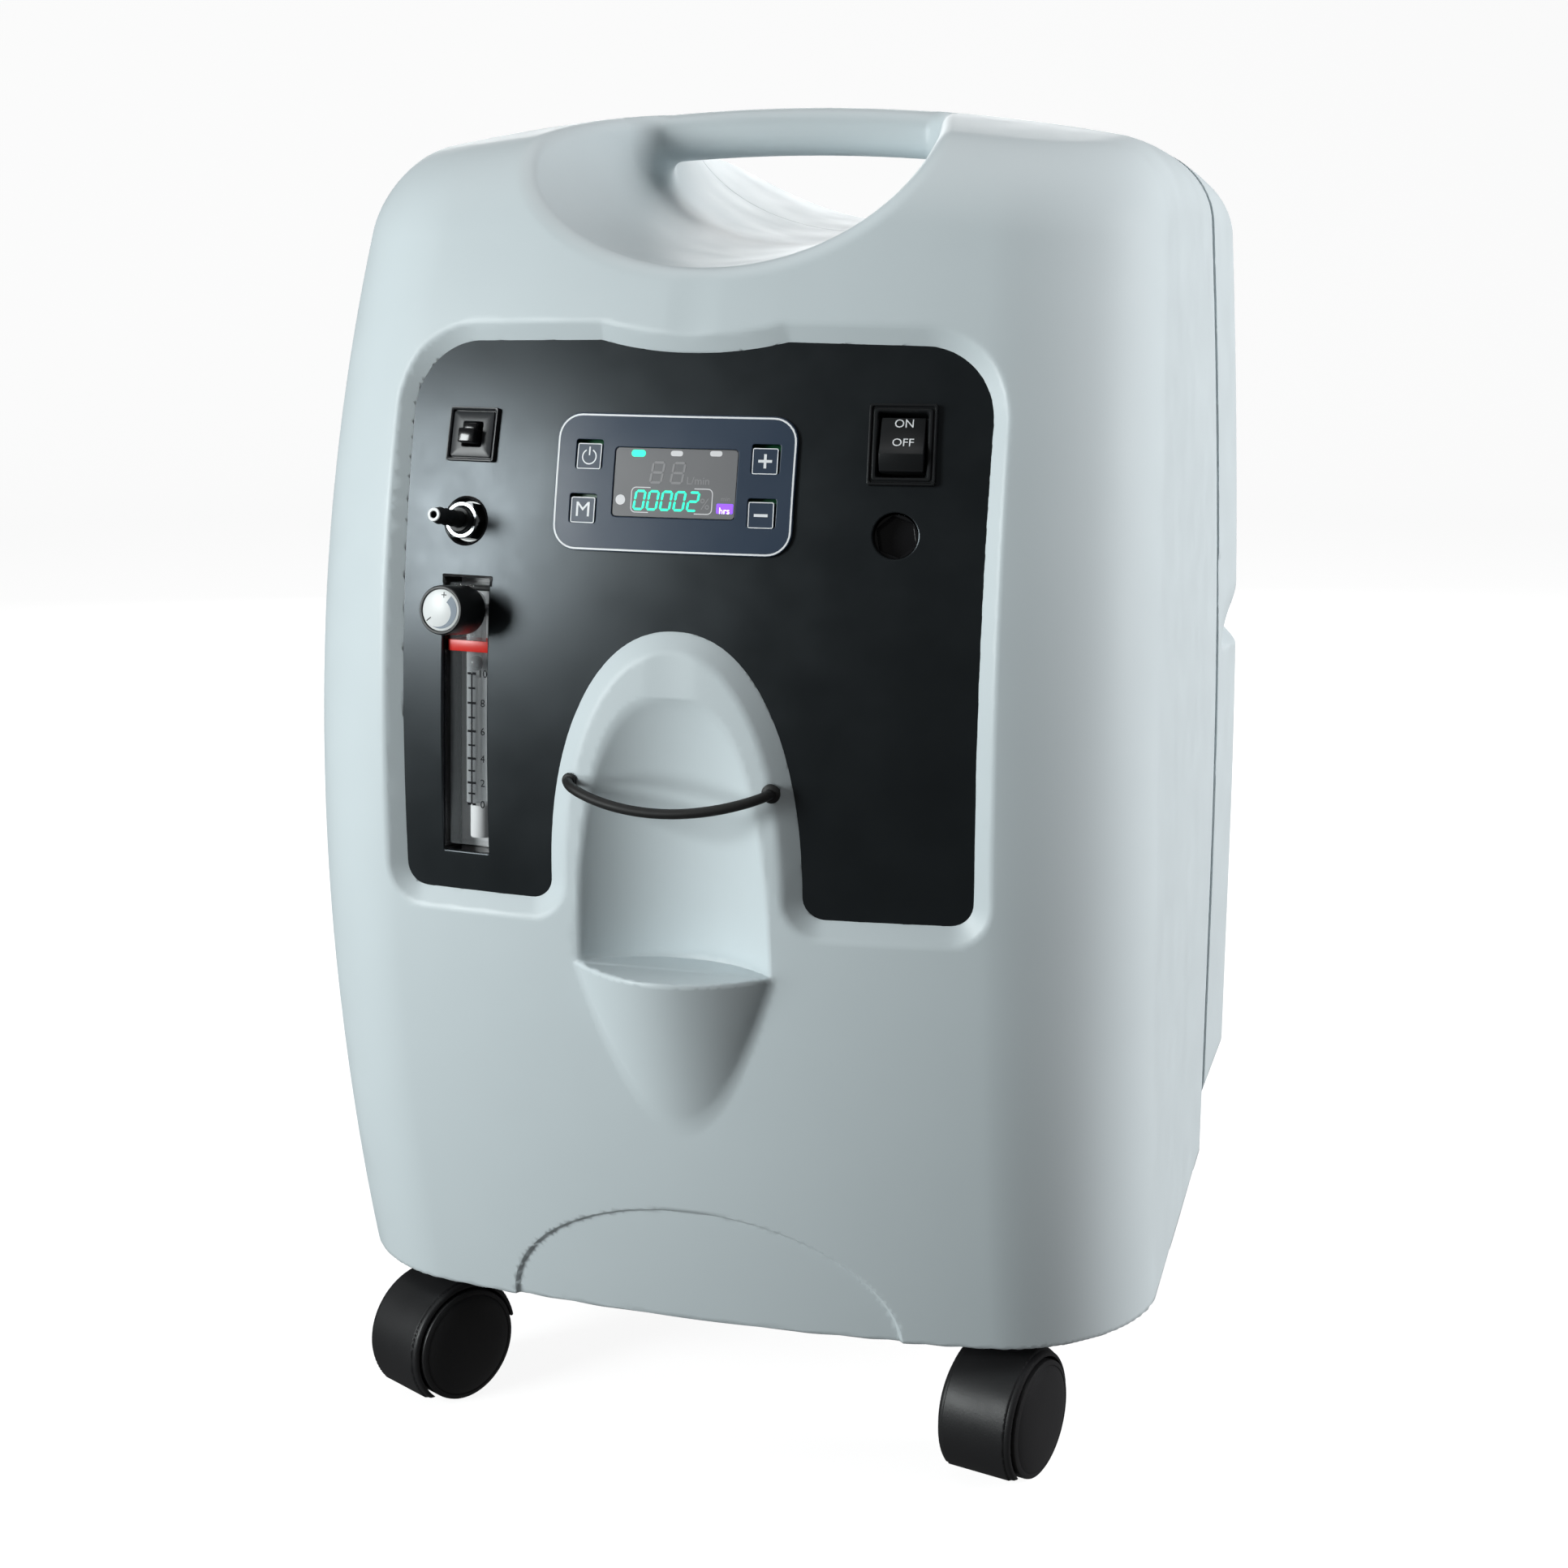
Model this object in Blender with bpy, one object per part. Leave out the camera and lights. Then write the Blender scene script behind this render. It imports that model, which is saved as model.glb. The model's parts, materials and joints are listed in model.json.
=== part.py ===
"""Oxygen concentrator on four twin-wheel casters.

Metres, +Z up, front towards -Y, standing on Z = 0 and centred on X and Y.
Run with: blender --background --python part.py
"""
import math

import bmesh
import bpy
from mathutils import Matrix, Vector

# ---------------------------------------------------------------- driving dimensions
FRONT_Y = -0.188  # front face at mid height
FRONT_MID_Z = 0.320
SEAM_Y = 0.106  # joint plane between front and rear shell
REAR_Y = 0.2035
BODY_BASE_Z = 0.060
REAR_BASE_Z = 0.074
CROWN_Z = 0.561
HALF_WIDTH = 0.1765
FRONT_FLARE = 0.0035  # the sides spread this much from the seam to the front corners
CORNER_R = 0.058
TOP_EDGE_R = 0.026
WALL = 0.0035
FOOT_CHAMFER = 0.003
GAP = 0.0003

PANEL_HALF_W = 0.118
PANEL_TOP_Z = 0.4665
PANEL_BOTTOM_Z = 0.2485
PANEL_DEPTH = 0.005
PANEL_T = 0.0025
PANEL_TOP_R = 0.028
PANEL_FOOT_R = 0.009
ARCH_HALF_W = 0.0520
ARCH_TOP_Z = 0.3585
DIP_HALF_W = 0.038
DIP = 0.0045

SHELF_Z = 0.2245
SHELF_HALF_W = 0.041
SHELF_TIP_Z = 0.1565
SHELF_REACH = 0.0193
NICHE_DEPTH = 0.0165
NICHE_TOP_Z = 0.333
NICHE_R = 0.059
STRAP_Z = 0.299
STRAP_X = 0.0412
STRAP_R = 0.002

HANDLE_Y = -0.003
HANDLE_HALF = Vector((0.070, 0.014, 0.010))
SCOOP_LIP_Z = 0.495
SCOOP_REAR_Z = 0.5135

WHEEL_R = 0.025
WEB_HALF = 0.0045  # half the thickness of the hood's centre web
PIN_R = 0.0030
WHEEL_SET_HALF = 0.021  # axle centre to the outer face of a wheel
CASTER_X = 0.127
CASTER_FRONT_Y = -0.116
CASTER_REAR_Y = 0.128
CASTER_TRAIL = 0.0107
CASTER_HEADINGS = {  # degrees that each caster has swivelled from straight ahead
    "front_left": 28.0,
    "front_right": 15.0,
    "rear_left": 170.0,
    "rear_right": 195.0,
}
TRAY_Z = 0.062
TRAY_T = 0.004

# ---------------------------------------------------------------- clean start
for leftover in list(bpy.data.objects):
    bpy.data.objects.remove(leftover, do_unlink=True)
PARTS = bpy.data.collections.new("oxygen_concentrator")
CUTTERS = bpy.data.collections.new("cutters")
for group in (PARTS, CUTTERS):
    bpy.context.scene.collection.children.link(group)


def material(name, colour, roughness, metallic=0.0, transmission=0.0):
    """A Principled material for one kind of finish."""
    mat = bpy.data.materials.new(name)
    mat.use_nodes = True
    shader = mat.node_tree.nodes["Principled BSDF"]
    shader.inputs["Base Color"].default_value = (*colour, 1.0)
    shader.inputs["Roughness"].default_value = roughness
    shader.inputs["Metallic"].default_value = metallic
    shader.inputs["Transmission Weight"].default_value = transmission
    return mat


SHELL = material("shell_plastic", (0.62, 0.68, 0.70), 0.45)
PANEL = material("panel_plastic", (0.012, 0.013, 0.014), 0.35)
BLACK = material("black_plastic", (0.015, 0.015, 0.016), 0.5)
RUBBER = material("rubber", (0.012, 0.012, 0.012), 0.75)
OVERLAY = material("overlay_film", (0.05, 0.075, 0.11), 0.4)
SCREEN = material("screen", (0.25, 0.25, 0.26), 0.3)
ACRYLIC = material("acrylic", (0.85, 0.87, 0.86), 0.08, transmission=0.9)
RED = material("red_band", (0.65, 0.03, 0.02), 0.4)
CHROME = material("chrome", (0.75, 0.76, 0.78), 0.15, 1.0)
STEEL = material("steel", (0.45, 0.46, 0.48), 0.35, 1.0)
ALUMINIUM = material("aluminium", (0.62, 0.63, 0.65), 0.4, 1.0)
FOAM = material("foam", (0.05, 0.05, 0.055), 0.95)
BOARD = material("circuit_board", (0.02, 0.16, 0.07), 0.5)
TUBE = material("silicone_tube", (0.80, 0.82, 0.80), 0.35)
COPPER = material("copper", (0.72, 0.38, 0.22), 0.3, 1.0)


# ---------------------------------------------------------------- helpers
def place(name, mesh, mat=None, cutter=False):
    """Link a mesh as a named part, or as a hidden cutter."""
    ob = bpy.data.objects.new(name, mesh)
    (CUTTERS if cutter else PARTS).objects.link(ob)
    if cutter:
        ob.hide_render = True
        ob.display_type = "WIRE"
    else:
        ob.data.materials.clear()
        ob.data.materials.append(mat)
        ob.data.shade_smooth()
        ob.data.set_sharp_from_angle(angle=math.radians(35))
    return ob


def mesh_from(bm, name):
    """Finish a bmesh as a mesh with outward normals."""
    bmesh.ops.recalc_face_normals(bm, faces=bm.faces)
    mesh = bpy.data.meshes.new(name)
    bm.to_mesh(mesh)
    bm.free()
    return mesh


def box(name, low, high, mat=None, cutter=False, bevel=0.0):
    """A block between two corners, with optional bevelled edges."""
    bm = bmesh.new()
    low, high = Vector(low), Vector(high)
    size = high - low
    move = Matrix.Translation((low + high) / 2) @ Matrix.Diagonal((*size, 1.0))
    bmesh.ops.create_cube(bm, size=1.0, matrix=move)
    if bevel:
        bmesh.ops.bevel(bm, geom=bm.edges[:], offset=bevel, segments=1, affect="EDGES")
    return place(name, mesh_from(bm, name), mat, cutter)


def turn_to(axis):
    """Rotation that lays a +Z cylinder along an axis."""
    return Vector((0, 0, 1)).rotation_difference(Vector(axis)).to_matrix().to_4x4()


def cylinder(name, radius, start, end, mat=None, cutter=False, sides=16, end_radius=None):
    """A cylinder or cone frustum between two points."""
    bm = bmesh.new()
    start, end = Vector(start), Vector(end)
    bmesh.ops.create_cone(
        bm,
        cap_ends=True,
        segments=sides,
        radius1=radius,
        radius2=radius if end_radius is None else end_radius,
        depth=(end - start).length,
        matrix=Matrix.Translation((start + end) / 2) @ turn_to(end - start),
    )
    return place(name, mesh_from(bm, name), mat, cutter)


def loft(name, rings, mat=None, cutter=False):
    """A closed solid through rings that all have the same number of points."""
    bm = bmesh.new()
    rows = [[bm.verts.new(p) for p in ring] for ring in rings]
    count = len(rows[0])
    for low, high in zip(rows, rows[1:]):
        for i in range(count):
            j = (i + 1) % count
            bm.faces.new((low[i], low[j], high[j], high[i]))
    bm.faces.new(reversed(rows[0]))
    bm.faces.new(rows[-1])
    bmesh.ops.triangulate(bm, faces=[f for f in bm.faces if len(f.verts) > 4])
    return place(name, mesh_from(bm, name), mat, cutter)


def combine(ob, other, operation="DIFFERENCE", keep=False):
    """Apply one exact Boolean to a part and drop the other operand."""
    mod = ob.modifiers.new(operation.lower(), "BOOLEAN")
    mod.object = other
    mod.operation = operation
    mod.solver = "EXACT"
    depsgraph = bpy.context.evaluated_depsgraph_get()
    mesh = bpy.data.meshes.new_from_object(ob.evaluated_get(depsgraph))
    ob.modifiers.clear()
    ob.data = mesh
    if not keep:
        bpy.data.objects.remove(other, do_unlink=True)
    return ob


def tube(name, points, radius, mat, close=False):
    """A round tube along a smooth run of points."""
    curve = bpy.data.curves.new(name, "CURVE")
    curve.dimensions = "3D"
    curve.bevel_depth = radius
    curve.bevel_resolution = 2
    curve.use_fill_caps = True
    spline = curve.splines.new("POLY")
    spline.points.add(len(points) - 1)
    for slot, point in zip(spline.points, points):
        slot.co = (*point, 1.0)
    spline.use_cyclic_u = close
    ob = bpy.data.objects.new(name, curve)
    PARTS.objects.link(ob)
    curve.materials.append(mat)
    return ob


def smooth_run(knots, steps):
    """Points on a Catmull-Rom curve through the knots."""
    knots = [Vector(k) for k in knots]
    padded = [2 * knots[0] - knots[1], *knots, 2 * knots[-1] - knots[-2]]
    run = []
    for a, b, c, d in zip(padded, padded[1:], padded[2:], padded[3:]):
        for i in range(steps):
            t = i / steps
            run.append(0.5 * (2 * b + (c - a) * t + (2 * a - 5 * b + 4 * c - d) * t * t
                              + (3 * b - a - 3 * c + d) * t ** 3))
    run.append(knots[-1])
    return run


# ---------------------------------------------------------------- body surfaces
def front_y(x, z):
    """The front face: leans back towards its top and foot, and bows across."""
    t = (z - FRONT_MID_Z) / 0.250
    lean = 0.0582 * t * t + 0.0064 * t ** 3 if t > 0 else 0.0447 * t * t
    return FRONT_Y + 0.0137 * t + lean + 0.656 * x * x


def half_width(z):
    """Half width at the seam: upright below, drawn in towards the top."""
    return HALF_WIDTH - 0.0065 * (max(0.0, z - 0.2) / 0.24) ** 2


def top_z(x, y):
    """The crown: highest over the handle, lower at the sides, front and rear."""
    run = y + 0.003
    return CROWN_Z - 0.65 * x * x - (1.1 if run < 0 else 0.28) * run * run


def front_ring(z_at, inset, foot=0.0):
    """One level of the front part of the body, from the right seam round to the left one."""
    ring = []
    radius = max(CORNER_R - inset, 0.02)
    arc = 5
    half = []
    z_side = z_at(HALF_WIDTH, SEAM_Y)
    for k in range(3):
        share = k / 3
        y_corner = front_y(half_width(z_side), z_side) + inset + radius
        y = SEAM_Y + foot + (y_corner - SEAM_Y - foot) * share
        z = z_at(half_width(z_side), y)
        half.append((half_width(z) - inset + FRONT_FLARE * share, y, z))
    for k in range(arc + 1):
        angle = math.pi / 2 * (1 - k / arc)
        z = z_at(HALF_WIDTH * 0.9, front_y(0.15, z_side))
        wide = half_width(z) - inset + FRONT_FLARE
        x = wide - radius + radius * math.sin(angle)
        y = front_y(x, z) + inset + radius * (1 - math.cos(angle))
        z = z_at(x, y)
        half.append((x, y, z))
    edge = half[-1][0]
    for k in range(1, 5):
        x = edge * (1 - k / 5)
        z = z_at(x, front_y(x, z_at(x, FRONT_Y * 0.7)) + inset)
        half.append((x, front_y(x, z) + inset, z))
    z = z_at(0.0, front_y(0.0, z_at(0.0, FRONT_Y * 0.7)) + inset)
    ring = half + [(0.0, front_y(0.0, z) + inset, z)] + [(-x, y, z) for x, y, z in reversed(half)]
    return ring


def front_solid(name, inset, base_z, back, cutter=True):
    """The front body as a solid, drawn in by an inset for its inner surface."""
    rings = []
    walls = [base_z, base_z + 0.012, 0.140, 0.220, 0.300, 0.370, 0.430, 0.485]
    for k, level in enumerate(walls):
        extra = FOOT_CHAMFER if k == 0 else 0.0
        rings.append(front_ring(lambda x, y, level=level: level, inset + extra, back))
    radius = TOP_EDGE_R
    for k in range(4):
        angle = math.pi / 2 * k / 3
        shrink = radius * (1 - math.cos(angle))
        drop = radius * (1 - math.sin(angle)) + inset
        rings.append(front_ring(lambda x, y, drop=drop: top_z(x, y) - drop, inset + shrink, back))
    centre_y = 0.03
    last = rings[-1]
    for share in (0.75, 0.45, 0.15):
        ring = []
        for x, y, z in last:
            px = x * share
            py = y if abs(y - SEAM_Y - back) < 1e-6 else centre_y + (y - centre_y) * share
            ring.append((px, py, top_z(px, py) - inset))
        rings.append(ring)
    return loft(name, rings, SHELL, cutter)


def rear_ring(z_at, inset, start, reach):
    """One level of the rear part of the body, with rounded rear corners."""
    radius = 0.024
    half = []
    z = z_at(HALF_WIDTH, SEAM_Y)
    wide = half_width(z) + 0.001 - inset
    corner_y = REAR_Y - inset - reach - radius
    middle_y = (start + corner_y) / 2
    half.append((wide, start, z_at(wide, start)))
    half.append((wide, middle_y, z_at(wide, middle_y)))
    for k in range(4):
        angle = math.pi / 2 * k / 3
        x = wide - radius + radius * math.cos(angle)
        y = corner_y + radius * math.sin(angle)
        half.append((x, y, z_at(x, y)))
    edge = half[-1][0]
    rear = REAR_Y - inset - reach
    for k in range(1, 4):
        x = edge * (1 - k / 4)
        half.append((x, rear, z_at(x, rear)))
    return half + [(0.0, rear, z_at(0.0, rear))] + [(-x, y, z) for x, y, z in reversed(half)]


def rear_solid(name, inset, base_z, start, cutter=True):
    """The rear body as a solid, drawn in by an inset for its inner surface."""
    rings = []
    walls = [(base_z, 0.016), (base_z + 0.006, 0.006), (base_z + 0.022, 0.0), (0.200, 0.0),
             (0.300, 0.0), (0.400, 0.0), (0.485, 0.0)]
    for level, reach in walls:
        rings.append(rear_ring(lambda x, y, level=level: level, inset, start, reach))
    radius = TOP_EDGE_R
    for k in range(4):
        angle = math.pi / 2 * k / 3
        shrink = radius * (1 - math.cos(angle))
        drop = radius * (1 - math.sin(angle)) + inset
        ring = rear_ring(lambda x, y, drop=drop: top_z(x, y) - drop, inset + shrink, start, 0.0)
        rings.append(ring)
    last = rings[-1]
    for share in (0.7, 0.35):
        ring = []
        for x, y, z in last:
            px = x * share
            py = y if abs(y - start) < 1e-6 else 0.12 + (y - 0.12) * (0.4 + 0.6 * share)
            ring.append((px, py, top_z(px, py) - inset))
        rings.append(ring)
    return loft(name, rings, SHELL, cutter)


def seat(x, z, depth=PANEL_DEPTH):
    """Axes on the panel: +X right, +Z up the face, -Y straight out of it."""
    step = 0.001
    right = Vector((1.0, (front_y(x + step, z) - front_y(x - step, z)) / (2 * step), 0.0)).normalized()
    up = Vector((0.0, (front_y(x, z + step) - front_y(x, z - step)) / (2 * step), 1.0))
    up = (up - up.dot(right) * right).normalized()
    inward = up.cross(right)
    frame = Matrix((right, inward, up)).transposed().to_4x4()
    origin = Vector((x, front_y(x, z), z)) + depth * inward
    return Matrix.Translation(origin) @ frame


def settle(ob, frame):
    """Move a part that was drawn at the origin onto its seat."""
    ob.matrix_world = frame
    return ob


def smoothstep(low, high, value):
    """Eased share of the way from low to high."""
    t = min(1.0, max(0.0, (value - low) / (high - low)))
    return t * t * (3 - 2 * t)


# ---------------------------------------------------------------- handle scoop
def scoop_section(y, grow):
    """The U-shaped channel under the handle at one place along Y."""
    lip_y, bar_y, rear_y = -0.150, HANDLE_Y, REAR_Y
    if y < bar_y:
        share = smoothstep(lip_y, bar_y, y)
        half, top = 0.090 - 0.023 * share, 0.560 - 0.015 * share
        low = SCOOP_LIP_Z + 0.008 * share
        full = 1.0
    else:
        share = smoothstep(bar_y, rear_y, y)
        half, top = 0.067 + 0.033 * share, 0.545 + 0.004 * share
        low = SCOOP_LIP_Z + 0.008 + (SCOOP_REAR_Z - SCOOP_LIP_Z - 0.008) * share
        full = 1.0 - share
    half, low = half + grow, low - grow
    side = []
    steps = 5
    for k in range(1, steps + 1):
        u = (k / steps) ** 2
        side.append((half * math.sqrt(u * (1 + full * (1 - u))), y, low + (top - low) * u))
    side.append((half, y, 0.62))
    return [(-x, yy, z) for x, yy, z in reversed(side)] + [(0.0, y, low)] + side


def scoop_solid(name, grow, start=-0.215, end=0.225):
    """The whole channel as a cutter, or its skin when grown by the wall."""
    stations = [start, -0.150, -0.100, -0.050, HANDLE_Y, 0.050, SEAM_Y, 0.160, end]
    return loft(name, [scoop_section(y, grow) for y in stations], SHELL, cutter=True)


def handle_bar():
    """The carrying bar across the channel, its top flush with the crown."""
    rings = []
    for k in range(7):
        x = -0.080 + 0.160 * k / 6
        ring = []
        for m in range(10):
            angle = 2 * math.pi * m / 10
            y = HANDLE_Y + HANDLE_HALF.y * math.copysign(abs(math.cos(angle)) ** 0.75, math.cos(angle))
            rise = math.copysign(abs(math.sin(angle)) ** 0.75, math.sin(angle))
            ring.append((x, y, top_z(x, y) - HANDLE_HALF.z + HANDLE_HALF.z * rise))
        rings.append(ring)
    return loft("handle_bar", rings, SHELL, cutter=True)


# ---------------------------------------------------------------- humidifier niche
def niche_depth(z):
    """How far the hollow reaches behind the front face at one height."""
    u = min(1.0, max(0.0, (z - SHELF_Z) / (NICHE_TOP_Z - SHELF_Z)))
    return NICHE_DEPTH * (1 - u * u) ** 0.75


def niche_solid(name, grow):
    """A hollow with a round back, deepest at the shelf and running out at its top."""
    radius = NICHE_R + grow
    rings = []
    for k in range(9):
        z = SHELF_Z - grow + (NICHE_TOP_Z + grow - SHELF_Z + grow) * (1 - (1 - k / 8) ** 1.6)
        depth = niche_depth(z) + grow
        back = front_y(0.0, z) + depth
        half = math.sqrt(max(2 * radius * (depth + 0.004), 0.003 ** 2))
        half = min(half, radius * 0.8)
        ring = []
        for m in range(9):
            x = half * (m / 4 - 1)
            ring.append((x, back - radius + math.sqrt(radius ** 2 - x * x), z))
        ring.append((half, FRONT_Y - 0.035, z))
        ring.append((-half, FRONT_Y - 0.035, z))
        rings.append(ring)
    return loft(name, rings, SHELL, cutter=True)


def shelf_solid():
    """The half-cone under the humidifier shelf, running out to its tip."""
    rings = []
    for k in range(8):
        u = (1 - k / 7) ** 1.5 + 0.002
        z = SHELF_TIP_Z + (SHELF_Z - SHELF_TIP_Z) * min(u, 1.0)
        half = SHELF_HALF_W * math.sqrt(min(u, 1.0))
        reach = SHELF_REACH * min(u, 1.0)
        front = []
        for m in range(9):
            x = half * (m / 4 - 1)
            front.append((x, front_y(x, z) - reach * (1 - (x / half) ** 2) + 0.0002, z))
        back = [(x, front_y(x, z) + 0.002, z) for x in (half, 0.0, -half)]
        rings.append(front + back)
    return loft("shelf_cone", rings, SHELL, cutter=True)


# ---------------------------------------------------------------- panel outline
def panel_outline(grow):
    """The panel's outline in X and Z, counter-clockwise, spread by a margin."""
    half = []
    for k in range(4):  # shallow dip in the middle of the top edge
        x = DIP_HALF_W * k / 3
        half.append((x, PANEL_TOP_Z + 0.001 - DIP * (1 - (k / 3) ** 2) + grow))
    right, top = PANEL_HALF_W + grow, PANEL_TOP_Z + grow
    radius = PANEL_TOP_R + grow
    for k in range(6):
        angle = math.pi / 2 * (1 - k / 5)
        half.append((right - radius + radius * math.cos(angle), top - radius + radius * math.sin(angle)))
    foot, low = PANEL_FOOT_R + grow, PANEL_BOTTOM_Z - grow
    for k in range(4):
        angle = -math.pi / 2 * k / 3
        half.append((right - foot + foot * math.cos(angle), low + foot + foot * math.sin(angle)))
    arch_w, arch_top = ARCH_HALF_W - grow, ARCH_TOP_Z - grow
    inner = arch_w + foot
    for k in range(3):
        angle = -math.pi / 2 * (1 + k / 3)
        half.append((inner + foot * math.cos(angle), low + foot + foot * math.sin(angle)))
    springing = low + foot
    for k in range(9):
        angle = math.pi / 2 * k / 8
        half.append((arch_w * math.cos(angle) ** 0.92, springing + (arch_top - springing) * math.sin(angle) ** 0.92))
    return half + [(-x, z) for x, z in reversed(half[1:-1])]


def panel_prism(name, grow, front, back, front_grow=None):
    """A solid over the panel's outline between two depths behind the front face."""
    if front_grow is None:
        front_grow = grow
    rings = []
    for depth, spread in ((front, front_grow), (back, grow)):
        rings.append([(x, front_y(x, z) + depth, z) for x, z in panel_outline(spread)])
    return loft(name, rings, PANEL, cutter=True)


def front_patch(name, front, back):
    """A curved slab that follows the front face between two depths."""
    bm = bmesh.new()
    columns, rows = 10, 9
    layers = []
    for depth in (front, back):
        grid = []
        for j in range(rows + 1):
            z = 0.225 + 0.270 * j / rows
            grid.append([bm.verts.new((x, front_y(x, z) + depth, z))
                         for x in (-0.140 + 0.280 * i / columns for i in range(columns + 1))])
        layers.append(grid)
    near, far = layers
    for j in range(rows):
        for i in range(columns):
            bm.faces.new((near[j][i], near[j][i + 1], near[j + 1][i + 1], near[j + 1][i]))
            bm.faces.new((far[j][i], far[j + 1][i], far[j + 1][i + 1], far[j][i + 1]))
    rim = []
    for grid in layers:
        rim.append(grid[0] + [row[-1] for row in grid[1:]] + grid[-1][-2::-1]
                   + [row[0] for row in grid[-2:0:-1]])
    for i in range(len(rim[0])):
        j = (i + 1) % len(rim[0])
        bm.faces.new((rim[0][i], rim[1][i], rim[1][j], rim[0][j]))
    return place(name, mesh_from(bm, name), PANEL, cutter=True)


def as_part(ob, mat):
    """Turn a finished working solid into a visible part."""
    CUTTERS.objects.unlink(ob)
    PARTS.objects.link(ob)
    ob.hide_render = False
    ob.display_type = "TEXTURED"
    ob.data.materials.clear()
    ob.data.materials.append(mat)
    for poly in ob.data.polygons:
        poly.material_index = 0
    ob.data.shade_smooth()
    ob.data.set_sharp_from_angle(angle=math.radians(35))
    return ob


# ---------------------------------------------------------------- shells
def build_front_shell():
    """Front casing with its panel opening, niche, shelf, handle and strap holes."""
    shell = front_solid("front_shell", 0.0, BODY_BASE_Z, 0.0)
    cavity = front_solid("front_cavity", WALL, BODY_BASE_Z - 0.004, 0.010)
    combine(cavity, scoop_solid("scoop_skin", WALL))
    combine(cavity, niche_solid("niche_skin", WALL))
    boss = front_patch("panel_boss", -0.002, PANEL_DEPTH + PANEL_T + 0.001)
    combine(boss, panel_prism("boss_edge", 0.012, -0.02, 0.04), "INTERSECT")
    combine(cavity, boss)
    combine(shell, cavity)
    combine(shell, scoop_solid("scoop", 0.0))
    combine(shell, handle_bar(), "UNION")
    combine(shell, niche_solid("niche", 0.0))
    combine(shell, shelf_solid(), "UNION")
    combine(shell, panel_prism("opening", GAP, -0.030, 0.040))
    for side in (-1, 1):
        x = side * STRAP_X
        start = Vector((x, front_y(x, STRAP_Z) - 0.010, STRAP_Z))
        hole = cylinder("strap_hole", STRAP_R + 0.0008, start, start + Vector((0, 0.05, 0)), SHELL, True, 10)
        combine(shell, hole)
    return as_part(shell, SHELL)


def notch_solid(name, side, grow):
    """A wedge-shaped finger notch on one side of the rear casing."""
    rings = []
    for y, depth in ((SEAM_Y + 0.004, -0.001), (REAR_Y + 0.012, 0.0105)):
        wide = half_width(0.32) + 0.001
        inner = side * (wide - depth - grow)
        outer = side * (wide + 0.02)
        rings.append([(outer, y, 0.357 + grow), (outer, y, 0.306 - grow), (side * (wide + 0.0015), y, 0.306 - grow),
                      (inner, y, 0.312 - grow), (side * (wide + 0.0015), y, 0.335 + grow)])
    return loft(name, rings, SHELL, cutter=True)


def build_rear_shell():
    """Rear casing with side notches, the channel's rear half and its openings."""
    shell = rear_solid("rear_shell", 0.0, REAR_BASE_Z, SEAM_Y + GAP)
    cavity = rear_solid("rear_cavity", WALL, REAR_BASE_Z - 0.004, SEAM_Y - 0.010)
    combine(cavity, scoop_solid("scoop_skin", WALL))
    for side in (-1, 1):
        combine(cavity, notch_solid("notch_skin", side, WALL))
    combine(shell, cavity)
    combine(shell, scoop_solid("scoop", 0.0))
    for side in (-1, 1):
        combine(shell, notch_solid("notch", side, 0.0))
    for low, high in REAR_OPENINGS:
        cut = box("opening", (low[0], REAR_Y - 0.02, low[1]), (high[0], REAR_Y + 0.02, high[1]), SHELL, True)
        combine(shell, cut)
    return as_part(shell, SHELL)


FILTER_LOW, FILTER_HIGH = (-0.060, 0.330), (0.060, 0.420)
EXHAUST_LOW, EXHAUST_HIGH = (-0.080, 0.120), (0.020, 0.200)
INLET_LOW, INLET_HIGH = (0.0855, 0.135), (0.1145, 0.159)
REAR_OPENINGS = ((FILTER_LOW, FILTER_HIGH), (EXHAUST_LOW, EXHAUST_HIGH), (INLET_LOW, INLET_HIGH))


# ---------------------------------------------------------------- panel and its fittings
BREAKER_AT = (-0.0906, 0.4315)
OUTLET_AT = (-0.0916, 0.3979)
FLOW_AT = (-0.0905, 0.3200)
KNOB_AT = (-0.0893, 0.3629)
DISPLAY_AT = (-0.0036, 0.4152)
ROCKER_AT = (0.0853, 0.4315)
BLANK_AT = (0.0847, 0.3979)

BREAKER_SIDE = 0.0215
BLANK_R = 0.00875
SLOT_HALF = (0.01025, 0.0555)
FLOW_HALF = (0.0092, 0.0530)
FLOW_FRONT = 0.0045
FLOW_BACK = 0.0150
BORE_R = 0.0040
BALL_R = 0.0030
BALL_Z = 0.0205
BAND_Z = 0.0280
KNOB_R = 0.0097
KNOB_L = 0.0190
STEM_R = 0.0030
DISPLAY_HALF = (0.0487, 0.0268)
DISPLAY_WINDOW_HALF = (0.0440, 0.0220)
KEY_SIDE = 0.0105
KEYS = {
    "key_power": (-0.0349, 0.0108),
    "key_mode": (-0.0362, -0.0103),
    "key_plus": (0.0367, 0.0106),
    "key_minus": (0.0364, -0.0101),
}
LCD_AT = (0.0009, 0.0004)
LCD_HALF = (0.0248, 0.0133)
ROCKER_HALF = (0.0130, 0.0155)
ROCKER_TILT = -7.0


def local_box(name, low, high, frame, mat=None, cutter=False, bevel=0.0):
    """A block drawn in a seat's own axes."""
    return settle(box(name, low, high, mat, cutter, bevel), frame)


def local_cylinder(name, radius, start, end, frame, mat=None, cutter=False, sides=16, end_radius=None):
    """A cylinder drawn in a seat's own axes."""
    return settle(cylinder(name, radius, start, end, mat, cutter, sides, end_radius), frame)


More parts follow.
